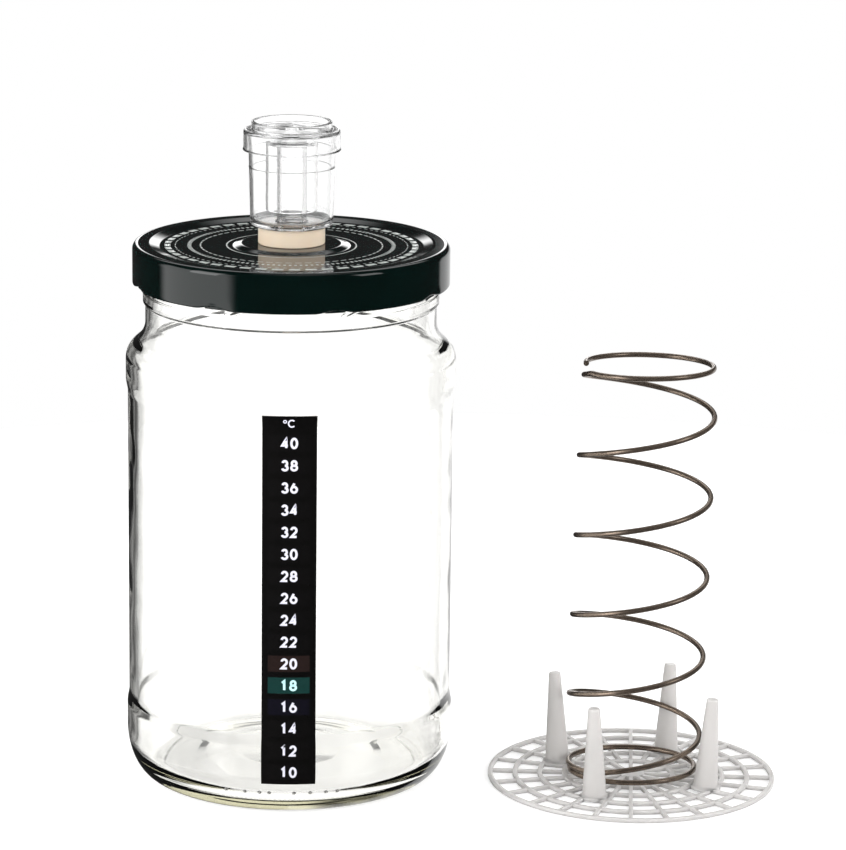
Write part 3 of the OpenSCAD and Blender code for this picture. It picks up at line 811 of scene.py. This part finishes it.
def draw_stroke(bm, line, stroke, closed):
    """A flat stroke on the film, with mitred corners, along a line of vectors (x, z)."""
    left, right = [], []
    before, after = (line[-2], line[1]) if closed else (line[0], line[-1])
    for last, here, following in zip([before, *line], line, [*line[1:], after]):
        ways = [way.normalized() for way in (here - last, following - here) if way.length]
        mean = sum(ways, Vector((0, 0))).normalized()
        normal = Vector((-mean.y, mean.x))
        width = stroke / 2 / max(0.45, normal.dot(Vector((-ways[0].y, ways[0].x))))
        for side, reach in ((left, width), (right, -width)):
            edge = here + normal * reach
            side.append(front_vertex(bm, edge.x, FIGURE_D, edge.y))
    for k in range(len(left) - 1):
        bm.faces.new([left[k], right[k], right[k + 1], left[k + 1]])


def draw_figure(bm, figure, x, z):
    """One figure, drawn with its lower left corner at x, z."""
    inset = DIGIT_STROKE / 2
    for line in STROKES[figure]:
        line = finer([
            Vector((
                x + inset + px * (DIGIT_W - DIGIT_STROKE),
                z + inset + pz * (DIGIT_H - DIGIT_STROKE),
            )) for px, pz in line
        ])
        draw_stroke(bm, line, DIGIT_STROKE, (line[0] - line[-1]).length < 1e-3)


def thermometer():
    bm = bmesh.new()
    front_sheet(bm, STRIP_W, STRIP_Z, STRIP_Z + STRIP_H, 0, GLUE_T)
    belongs(finished("strip_adhesive_layer", bm, GLUE), "jar", "adhesive", "thermometer_adhesive")
    bm = bmesh.new()
    front_sheet(bm, STRIP_W, STRIP_Z, STRIP_Z + STRIP_H, GLUE_T, FACE_D)
    belongs(finished("strip_black_film", bm, FILM), "jar", "black_film", "thermometer_strip")
    cells, plain, lit = bmesh.new(), bmesh.new(), bmesh.new()
    shades = [CELL_DARK]
    for i in range(CELLS):
        value = LOWEST_C + i * STEP_C
        z = STRIP_Z + FIRST_CELL + i * CELL_PITCH
        before = len(cells.faces)
        front_sheet(cells, CELL_W, z - CELL_H / 2, z + CELL_H / 2, *CELL_D, 16)
        if value in CELL_LIT:
            shades.append(CELL_LIT[value])
            cells.faces.ensure_lookup_table()
            for face in cells.faces[before:]:
                face.material_index = len(shades) - 1
        text = str(value)
        for k, figure in enumerate(text):
            x = (k - len(text) / 2) * (DIGIT_W + DIGIT_GAP) + DIGIT_GAP / 2
            draw_figure(lit if value == READING_C else plain, figure, x, z - DIGIT_H / 2)
    belongs(finished("strip_crystal_cells", cells, *shades), "jar", "crystal_cells", "thermometer_cells")
    # The degree sign and the C at the top of the scale
    z = STRIP_Z + STRIP_H - SIGN_DROP
    degree = arc((-1.6, z + 1.9), (0.5, 0.5), 0, TAU, 20)
    letter = arc((0.75, z + 1.2), (1.15, 1.25), math.radians(45), math.radians(315), 24)
    draw_stroke(plain, [Vector(p) for p in degree], 0.35, True)
    draw_stroke(plain, [Vector(p) for p in letter], 0.5, False)
    belongs(finished("strip_figures", plain, FIGURES, tidy=False), "jar", "black_film")
    belongs(finished("strip_figures_lit", lit, LIT_FIGURES, tidy=False), "jar", "black_film")


# Lid


def dented(r, z, a):
    """The skirt's foot is pushed in and up where each lug is folded."""
    pitch = 360 / LUGS
    off = (math.degrees(a) - LUG_A + pitch / 2) % pitch - pitch / 2
    if r < LUG_R - 1 or z > LID_FOOT + DENT_H or abs(off) > DENT_A:
        return r, z
    bell = math.cos(math.pi / 2 * off / DENT_A) ** 2
    near = share(z, LID_FOOT + DENT_H, LID_FOOT + 1)
    low = share(z, LID_FOOT + 2.6, LID_FOOT + 0.8)
    return r - DENT_IN * bell * near * near, z + DENT_UP * bell * low


def lid_side(inset):
    """A side of the lid's sheet, from the hole to the skirt, at an inset from the outer face."""
    return rounded([
        (HOLE_R, BUTTON_Z - inset),
        (BUTTON_R - BUTTON_SLOPE, BUTTON_Z - inset, 2.5),
        (BUTTON_R, PANEL_Z - inset, 2.5),
        (PANEL_EDGE_R, PANEL_Z - inset, 2.0),
        (RIDGE_R, LID_TOP - inset, 2.0),
        (LID_R - inset, LID_TOP - inset, EDGE_RAD - inset),
        (LID_R - inset, LID_FOOT + 9),
    ], closed=False)


def lid():
    skirt = [(LID_R, LID_FOOT + 7.5 - 0.75 * i) for i in range(9)]
    curl = arc((LID_R - HEM_RAD, LID_FOOT + HEM_RAD), (HEM_RAD, HEM_RAD), 0, -1.5 * math.pi, 18)
    wall = [(LID_R - LID_T, LID_FOOT + 2 + 0.9 * i) for i in range(7)]
    bm = bmesh.new()
    turned(bm, lid_side(0) + skirt + curl + wall + lid_side(LID_T)[::-1], JAR, 384, dented)
    section = rounded([
        (LUG_R, LUG_Z[0], 0.4),
        (LID_R - LUG_FOLD, LUG_Z[0]),
        (LID_R - LUG_FOLD, LUG_Z[1]),
        (LUG_R, LUG_Z[1], 0.4),
    ], hold=0.05)
    for i in range(LUGS):
        start = LUG_A - LUG_SPAN / 2 + i * 360 / LUGS
        rings = [
            [bm.verts.new(on_ring(JAR, r, math.radians(start + LUG_SPAN * k / 8), z)) for r, z in section]
            for k in range(9)
        ]
        for one, other in zip(rings, rings[1:]):
            bridge(bm, one, other, closed=True)
        bm.faces.new(rings[0])
        bm.faces.new(rings[-1])
    belongs(finished("lid_lacquered_shell", bm, LACQUER, sharp=50), "lid", "lacquered_steel", "lid_shell")


def ring_of_marks_tree():
    """Flat marks set round a ring, each as long and wide as the inputs say."""
    tree, size = geometry_tree("ring_of_marks", {
        "Count": "Int",
        "Radius": "Float",
        "Mark Length": "Float",
        "Mark Width": "Float",
        "Mark Height": "Float",
        "Start Angle": "Float",
    })
    ring = add(tree, "GeometryNodeMeshCircle", {"Vertices": size["Count"], "Radius": size["Radius"]})
    place_on = math_node(tree, "DIVIDE", add(tree, "GeometryNodeInputIndex"), size["Count"])
    mark = add(tree, "GeometryNodeMeshCube", {
        "Size": vector(tree, size["Mark Width"], size["Mark Length"], size["Mark Height"]),
        "Vertices X": 2,
        "Vertices Y": 6,
        "Vertices Z": 2,
    })
    marks = add(tree, "GeometryNodeInstanceOnPoints", {
        "Points": ring,
        "Instance": mark,
        "Rotation": vector(tree, z=math_node(tree, "MULTIPLY", place_on, TAU)),
    })
    turned_marks = add(tree, "GeometryNodeTransform", {
        "Geometry": marks, "Rotation": vector(tree, z=size["Start Angle"]),
    })
    return end_tree(tree, turned_marks, INK)


def lid_print():
    """A generic printed pattern: rings of dashes and dots round the middle."""
    tree = ring_of_marks_tree()
    bm = bmesh.new()
    for radius, count, along, across in PRINT_ROWS:
        absorb(bm, grown("lid_print_row", tree, {
            "Count": count,
            "Radius": radius * MM,
            "Mark Length": along * MM,
            "Mark Width": across * MM,
            "Mark Height": INK_T * MM,
            "Start Angle": math.radians(radius * PRINT_TURN),
        }))
    mesh = bpy.data.meshes.new("lid_printed_marks")
    bmesh.ops.translate(bm, vec=Vector((*JAR, INK_Z)) * MM, verts=bm.verts)
    bm.to_mesh(mesh)
    bm.free()
    mesh.materials.append(INK)
    belongs(linked("lid_printed_marks", mesh), "lid", "lacquered_steel")


def seal():
    inner, outer, z0 = RIDGE_R - 1, LID_R - EDGE_RAD, foot("lid_gasket")
    ring = turned_piece("lid_plastisol_seal", rounded([
        (inner, z0 + REST_GAP, 0.3),
        (outer, z0 + REST_GAP, 0.3),
        (outer, z0 + SEAL_T[1], 0.3),
        (RIDGE_R, z0 + SEAL_T[1], 0.3),
        (inner, z0 + SEAL_T[0], 0.3),
    ], hold=0.05), PLASTISOL)
    belongs(ring, "lid_seal", "seal_compound", "lid_gasket")


def grommet():
    under = BUTTON_Z - LID_T
    ring = turned_piece("lid_silicone_grommet", rounded([
        (STEM_R + STEM_GAP, GROMMET_FOOT, 0.5),
        (GROMMET_R, GROMMET_FOOT, 0.9),
        (GROMMET_R, under, 0.2),
        (HOLE_R, under, 0.1),
        (HOLE_R, BUTTON_Z, 0.1),
        (GROMMET_R, BUTTON_Z, 0.5),
        (GROMMET_R, GROMMET_TOP, 1.0),
        (STEM_R + STEM_GAP, GROMMET_TOP, 0.4),
    ]), SILICONE)
    belongs(ring, "lid", "cream_silicone", "lid_grommet")


# Airlock


def airlock_cup():
    foot_z = GROMMET_TOP + REST_GAP
    floor_z = GROMMET_TOP + CUP_FLOOR
    stem_top = BELL_TOP - BELL_WALL
    line_z = GROMMET_TOP + FILL_LINE_Z
    line_r = CUP_R[0] + (CUP_R[1] - CUP_R[0]) * FILL_LINE_Z / (CUP_TOP - GROMMET_TOP)
    line_out, line_half = FILL_LINE_SIZE
    cup = turned_piece("airlock_cup_and_stem", rounded([
        (BORE_R, CUP_FOOT, 0.3),
        (STEM_R, CUP_FOOT, 0.5),
        (STEM_R, foot_z, 0.4),
        (CUP_R[0], foot_z, 1.2),
        (line_r, line_z - line_half, 0.2),
        (line_r + line_out, line_z, 0.2),
        (line_r, line_z + line_half, 0.2),
        (CUP_R[1], CUP_TOP, 0.4),
        (CUP_R[1] - CUP_WALL, CUP_TOP, 0.4),
        (CUP_R[0] - CUP_WALL, floor_z, 1.6),
        (STEM_R, floor_z, 0.8),
        (STEM_R, stem_top, 0.4),
        (BORE_R, stem_top, 0.3),
    ]), STYRENE, sharp=60)
    belongs(cup, "airlock", "clear_plastic", "airlock_cup")


def airlock_bell():
    ceiling = BELL_TOP - BELL_WALL + REST_GAP
    bell = turned_piece("airlock_bell_float", rounded([
        (0, ceiling),
        (BELL_R - BELL_WALL, ceiling, 0.8),
        (BELL_R - BELL_WALL, BELL_FOOT, 0.3),
        (BELL_R, BELL_FOOT, 0.3),
        (BELL_R, BELL_TOP, 1.2),
        (0, BELL_TOP),
    ], closed=False), STYRENE, sharp=60)
    belongs(bell, "bell", "clear_plastic", "airlock_bell")


def vent_cutter(low_z, high_z):
    """Wedges that cut the vents through the cap."""
    bm = bmesh.new()
    for i in range(VENTS):
        middle = TAU * i / VENTS + math.pi
        along = Vector((math.sin(middle), -math.cos(middle)))
        across = Vector((along.y, -along.x))
        corners = [
            Vector(JAR) + along * VENT_IN + across * VENT_W / 2,
            Vector(JAR) + along * VENT_OUT,
            Vector(JAR) + along * VENT_IN - across * VENT_W / 2,
        ]
        low, high = ([bm.verts.new((x, y, z)) for x, y in corners] for z in (low_z, high_z))
        bm.faces.new(low)
        bm.faces.new(high)
        bridge(bm, low, high, closed=True)
    return finished("vent_cutter", bm)


def airlock_cap():
    seat = CUP_TOP + REST_GAP
    cap = turned_piece("airlock_vented_cap", rounded([
        (0, seat),
        (CAP_R[0], seat, 0.5),
        (CAP_R[0], CAP_FOOT, 0.2),
        (CAP_R[1] + CAP_BEAD, CAP_FOOT, 0.15),
        (CAP_R[1] + CAP_BEAD, CAP_FOOT + 0.4, 0.2),
        (CAP_R[1], CAP_FOOT + 0.7, 0.2),
        (CAP_R[1], CAP_DISC_Z, 0.9),
        (CAP_RING_R[1], CAP_DISC_Z, 0.4),
        (CAP_RING_R[1], CAP_TOP, 0.4),
        (CAP_RING_R[0], CAP_TOP, 0.4),
        (CAP_RING_R[0], CAP_DISC_Z, 0.4),
        (0, CAP_DISC_Z),
    ], closed=False), STYRENE, sharp=60, steps=144)
    cutter = vent_cutter(seat - 1, CAP_DISC_Z + 1)
    cut = cap.modifiers.new("vents", "BOOLEAN")
    cut.operation = "DIFFERENCE"
    cut.solver = "EXACT"
    cut.object = cutter
    mesh = evaluated(cap)
    cap.modifiers.remove(cut)
    cap.data = mesh
    bpy.data.objects.remove(cutter)
    belongs(cap, "cap", "clear_plastic", "airlock_cap")


# Press


def grille_tree():
    """The plate: rings and spokes with rounded edges, joined into one solid."""
    tree, size = geometry_tree("press_grille", {
        "Plate Radius": "Float",
        "Thickness": "Float",
        "Rings": "Int",
        "Ring Pitch": "Float",
        "Ring Width": "Float",
        "Spokes": "Int",
        "Spoke Width": "Float",
        "Hub Radius": "Float",
    })
    calc = partial(math_node, tree)

    def swept(curve, width, soft, caps):
        """A flat bar with softened edges along a curve."""
        section = add(tree, "GeometryNodeCurvePrimitiveQuadrilateral", {
            "Width": width, "Height": size["Thickness"],
        })
        softened = add(tree, "GeometryNodeFilletCurve", {
            "Curve": section, "Count": 2, "Radius": soft * MM,
        }, mode="POLY")
        return add(tree, "GeometryNodeCurveToMesh", {
            "Curve": curve, "Profile Curve": softened, "Fill Caps": caps,
        })

    index = add(tree, "GeometryNodeInputIndex")
    outer_r = calc("SUBTRACT", size["Plate Radius"], calc("MULTIPLY", size["Ring Width"], 0.5))
    # Each ring is a circle of its own radius
    ring_r = calc("SUBTRACT", outer_r, calc("MULTIPLY", index, size["Ring Pitch"]))
    circles = add(tree, "GeometryNodeInstanceOnPoints", {
        "Points": add(tree, "GeometryNodeMeshLine", {"Count": size["Rings"], "Offset": (0, 0, 0)}),
        "Instance": add(tree, "GeometryNodeCurvePrimitiveCircle", {"Resolution": 144, "Radius": 1.0}),
        "Scale": vector(tree, ring_r, ring_r, 1.0),
    })
    rings = add(tree, "GeometryNodeRealizeInstances", {"Geometry": circles})
    # Spokes run out from the hub or from the innermost ring by turns
    drop = calc("MULTIPLY", calc("SUBTRACT", size["Rings"], 1.0), size["Ring Pitch"])
    inner_r = calc("SUBTRACT", outer_r, drop)
    start_r = add(tree, "ShaderNodeMapRange", {
        "Value": calc("MODULO", index, 2.0), "To Min": size["Hub Radius"], "To Max": inner_r,
    })
    angle = calc("MULTIPLY", calc("DIVIDE", index, size["Spokes"]), TAU)
    feet = vector(
        tree,
        calc("MULTIPLY", calc("COSINE", angle), start_r),
        calc("MULTIPLY", calc("SINE", angle), start_r),
    )
    lines = add(tree, "GeometryNodeInstanceOnPoints", {
        "Points": add(tree, "GeometryNodeSetPosition", {
            "Geometry": add(tree, "GeometryNodeMeshLine", {"Count": size["Spokes"], "Offset": (0, 0, 0)}),
            "Position": feet,
        }),
        "Instance": add(tree, "GeometryNodeCurvePrimitiveLine", {"Start": (0, 0, 0), "End": (1, 0, 0)}),
        "Rotation": vector(tree, z=angle),
        "Scale": vector(tree, calc("SUBTRACT", outer_r, start_r), 1.0, 1.0),
    })
    spokes = add(tree, "GeometryNodeRealizeInstances", {"Geometry": lines})
    hub = add(tree, "GeometryNodeMeshCylinder", {
        "Vertices": 48, "Radius": size["Hub Radius"], "Depth": size["Thickness"],
    })
    whole = add(tree, "GeometryNodeMeshBoolean", operation="UNION", solver="MANIFOLD")
    parts = (
        swept(rings, size["Ring Width"], RING_SOFT, False),
        swept(spokes, size["Spoke Width"], SPOKE_SOFT, True),
        hub,
    )
    for part in parts:
        tree.links.new(part.outputs[0], whole.inputs["Mesh 2"])
    return end_tree(tree, whole, MILKY)


def post(bm, bearing):
    """A cone that leans outwards, flared at its foot and rounded at its top."""
    foot_r, top_r = POST_R
    outline = rounded([
        (0, PLATE_T * 0.4),
        (foot_r + POST_FLARE, PLATE_T * 0.4),
        (foot_r + POST_FLARE, PLATE_T * 0.97, 0.2),
        (foot_r - 0.15, PLATE_T + 0.5, 1.5),
        (top_r, PLATE_T + POST_H, 0.45),
        (0, PLATE_T + POST_H),
    ], closed=False)
    local = bmesh.new()
    turned(local, outline, (0, 0), 48)
    lean = Matrix.Rotation(POST_LEAN, 4, "Y")
    move = Matrix.Rotation(bearing, 4, "Z") @ Matrix.Translation((POST_AT, 0, 0))
    for vertex in local.verts:
        # The lean sets in over the lowest 3 mm
        leaning = share(vertex.co.z, PLATE_T, PLATE_T + 3)
        vertex.co = move @ vertex.co.lerp(lean @ vertex.co, leaning)
    mesh = bpy.data.meshes.new("post")
    local.to_mesh(mesh)
    local.free()
    absorb(bm, mesh)


def press_plate():
    bm = bmesh.new()
    absorb(bm, grown("press_grille", grille_tree(), {
        "Plate Radius": PLATE_R * MM,
        "Thickness": PLATE_T * MM,
        "Rings": RINGS,
        "Ring Pitch": RING_PITCH * MM,
        "Ring Width": RING_W * MM,
        "Spokes": SPOKES,
        "Spoke Width": SPOKE_W * MM,
        "Hub Radius": HUB_R * MM,
    }))
    bmesh.ops.scale(bm, vec=(1 / MM,) * 3, verts=bm.verts)
    bmesh.ops.translate(bm, vec=(0, 0, PLATE_T / 2), verts=bm.verts)
    for i in range(POSTS):
        post(bm, math.radians(POST_A + i * 360 / POSTS))
    bmesh.ops.rotate(bm, cent=(0, 0, 0), matrix=Matrix.Rotation(PLATE_TURN, 3, "Z"), verts=bm.verts)
    bmesh.ops.translate(bm, vec=(*PRESS, 0), verts=bm.verts)
    belongs(finished("press_slotted_plate", bm, MILKY, sharp=35), "press", "milky_plastic", "press_plate")


def coil_point(t):
    """Middle of the wire after t turns: a closed turn, the open turns and a closed turn."""
    r = FOOT_TURN_R + (COIL_R - FOOT_TURN_R) * share(t, 0.5, 1.5)
    r += (TOP_TURN_R - COIL_R) * share(t, 5.75, 6.25)
    climb = END_RISE * min(t, FOOT_CLOSED)
    climb += COIL_PITCH * max(0, min(t, TOP_CLOSED) - FOOT_CLOSED)
    climb += END_RISE * max(0, t - TOP_CLOSED)
    a = math.pi + TAU * t
    y = r * math.sin(a)
    return Vector((
        PRESS[0] + COIL_AT[0] + r * math.cos(a) + climb * math.tan(COIL_LEAN),
        PRESS[1] + COIL_AT[1] + y * math.cos(COIL_BACK) + climb * math.sin(COIL_BACK),
        climb * math.cos(COIL_BACK) - y * math.sin(COIL_BACK),
    ))


def wire_tree():
    """A round wire along a path."""
    tree, size = geometry_tree("coiled_wire", {"Wire Radius": "Float", "Sides": "Int"})
    tube = add(tree, "GeometryNodeCurveToMesh", {
        "Curve": add(tree, "GeometryNodeMeshToCurve", {"Mesh": size["Geometry"]}),
        "Profile Curve": add(tree, "GeometryNodeCurvePrimitiveCircle", {
            "Resolution": size["Sides"], "Radius": size["Wire Radius"],
        }),
        "Fill Caps": True,
    })
    return end_tree(tree, tube, WIRE)


def press_spring():
    points = [coil_point(i / COIL_STEPS) for i in range(COIL_TURNS * COIL_STEPS + 1)]
    # The ends run on straight by the wire's thickness
    points.insert(0, points[0] + (points[0] - points[1]).normalized() * 2 * WIRE_R)
    points.append(points[-1] + (points[-1] - points[-2]).normalized() * 2 * WIRE_R)
    rise = foot("press_spring") + WIRE_R - min(p.z for p in points)
    points = [(p + Vector((0, 0, rise))) * MM for p in points]
    path = bpy.data.meshes.new("coil_path")
    path.from_pydata(points, [(i, i + 1) for i in range(len(points) - 1)], [])
    mesh = grown("press_coil_spring", wire_tree(), {
        "Wire Radius": WIRE_R * MM, "Sides": WIRE_SIDES,
    }, path)
    mesh.set_sharp_from_angle(angle=math.radians(50))
    belongs(linked("press_coil_spring", mesh), "spring", "spring_wire", "press_spring")


# Stage: floor, world, lamps and camera


def window(tree, value, low, high, soft):
    """1 where a value lies between two limits, 0 elsewhere, with soft edges."""
    up, down = (
        add(tree, "ShaderNodeMapRange", {
            "Value": value,
            "From Min": edge - soft,
            "From Max": edge + soft,
            "To Min": before,
            "To Max": after,
        }, interpolation_type="SMOOTHSTEP")
        for edge, before, after in ((low, 0.0, 1.0), (high, 1.0, 0.0))
    )
    return math_node(tree, "MULTIPLY", up, down)


def choose(tree, switch, off, on):
    """One number or another, by a switch of 0 or 1."""
    either = add(tree, "ShaderNodeMix", {"Factor": switch, "A": off, "B": on}, data_type="FLOAT")
    return either.outputs["Result"]


def light_path_share(tree, extra):
    """Light Path's outputs, whether a ray was ever reflected, and the white that straight rays see.

    That white makes up for what each clear surface on the way reflects. extra is what Ray Depth
    counts above the bounces: 1 in a world, 0 on a surface.
    """
    path = add(tree, "ShaderNodeLightPath").outputs
    straight = math_node(tree, "ADD", path["Transmission Depth"], extra + 0.5)
    bounced = math_node(tree, "GREATER_THAN", path["Ray Depth"], straight)
    return path, bounced, math_node(tree, "POWER", CLEAR_GAIN, path["Transmission Depth"])


def make_floor():
    """A plain white floor. It shows white to the camera and through glass, and keeps the shadow."""
    material, tree = empty_material("white_studio_floor")
    path, bounced, white = light_path_share(tree, 0)
    paint = add(tree, "ShaderNodeBsdfDiffuse", {"Color": (FLOOR_GREY, FLOOR_GREY, FLOOR_GREY, 1)})
    glow = add(tree, "ShaderNodeEmission", {
        "Color": (1, 1, 1, 1), "Strength": math_node(tree, "MULTIPLY", white, FLOOR_GLOW),
    })
    lit = add(tree, "ShaderNodeAddShader", {0: paint, 1: glow})
    # Reflections see the world behind the floor, and matt faces see the floor without its glow
    clear = add(tree, "ShaderNodeBsdfTransparent")
    either = add(tree, "ShaderNodeMixShader", {0: bounced, 1: lit, 2: clear})
    quiet = add(tree, "ShaderNodeMixShader", {0: path["Is Diffuse Ray"], 1: either, 2: paint})
    add(tree, "ShaderNodeOutputMaterial", {"Surface": quiet})
    bm = bmesh.new()
    bmesh.ops.create_circle(bm, cap_ends=True, segments=96, radius=FLOOR_R)
    bmesh.ops.translate(bm, vec=(0, 0, -FLOOR_DROP), verts=bm.verts)
    floor = finished("studio_floor", bm, material)


def make_world():
    """White to the camera and through glass, soft fill on matt faces, and a dark studio with a lit
    table, softboxes, light strips and flags in reflections."""
    world = bpy.data.worlds.new("studio")
    scene.world = world
    world.use_nodes = True
    world.cycles.sampling_method = "NONE"
    tree = world.node_tree
    tree.nodes.clear()
    calc = partial(math_node, tree)
    path, bounced, white = light_path_share(tree, 1)
    axes = add(tree, "ShaderNodeSeparateXYZ", {
        0: add(tree, "ShaderNodeTexCoord").outputs["Generated"],
    }).outputs
    bearing = calc("DEGREES", calc("ARCTAN2", axes["X"], calc("MULTIPLY", axes["Y"], -1.0)))
    bearing = calc("FLOORED_MODULO", bearing, 360.0)
    height = calc("DEGREES", calc("ARCSINE", axes["Z"]))
    # Inside glass: three flags, the first just past the direction straight behind
    third = calc("FLOORED_MODULO", calc("ADD", bearing, 180.0), 120.0)
    flag = calc("MULTIPLY", window(tree, third, *FLAG, 3.0), window(tree, height, *FLAG_HEIGHT, 6.0))
    folds = add(tree, "ShaderNodeMapRange", {
        "Value": calc("SINE", calc("MULTIPLY", third, TAU / FLAG_FOLD)),
        "From Min": -1.0,
        "To Min": FOLD_LEAST,
    })
    in_glass = choose(tree, calc("MULTIPLY", flag, folds), GLASS_BRIGHT, GLASS_DARK)
    gloss = GLOSS_GROUND
    for strength, bearings, side_soft, heights, end_soft in GLOSS_SHOWS:
        shown = window(tree, bearing, *bearings, side_soft)
        shown = calc("MULTIPLY", shown, window(tree, height, *heights, end_soft))
        gloss = calc("ADD", gloss, calc("MULTIPLY", shown, strength))
    inside = calc("GREATER_THAN", path["Transmission Depth"], 0.5)
    seen = choose(tree, bounced, white, choose(tree, inside, gloss, in_glass))
    # Matt faces are lit more from the sides than from above
    fill = choose(tree, window(tree, height, -95.0, FILL_TOP, 4.0), FILL_ABOVE, FILL_SIDES)
    strength = choose(tree, path["Is Diffuse Ray"], seen, fill)
    light = add(tree, "ShaderNodeBackground", {"Color": (1, 1, 1, 1), "Strength": strength})
    add(tree, "ShaderNodeOutputWorld", {"Surface": light})


def make_lamps():
    """Area lamps, aimed at the middle of the set."""
    for name, (where, size, power) in LAMPS.items():
        data = bpy.data.lights.new(name, "AREA")
        data.shape = "RECTANGLE"
        data.size, data.size_y = size
        data.energy = power
        lamp = linked(name, data)
        lamp.location = where
        lamp.rotation_euler = (Vector(LAMP_AIM) - Vector(where)).to_track_quat("-Z", "Y").to_euler()


def make_camera():
    data = bpy.data.cameras.new("camera")
    data.sensor_width = SENSOR
    data.lens = FOCAL_PX * SENSOR / max(PHOTO_W, PHOTO_H)
    data.clip_start, data.clip_end = 0.05, 50
    camera = linked("camera", data)
    turn = Matrix.Rotation(math.pi / 2 - CAMERA_PITCH, 4, "X") @ Matrix.Rotation(CAMERA_ROLL, 4, "Z")
    camera.matrix_world = Matrix.Translation(Vector(CAMERA_AT) * MM) @ turn
    scene.camera = camera


scene.view_settings.view_transform = "Standard"
scene.cycles.max_bounces = BOUNCES
scene.cycles.transmission_bounces = BOUNCES
scene.cycles.transparent_max_bounces = BOUNCES

make_camera()
jar_glass()
jar_marks()
thermometer()
lid()
lid_print()
seal()
grommet()
airlock_cup()
airlock_bell()
airlock_cap()
press_plate()
press_spring()
make_floor()
make_world()
make_lamps()
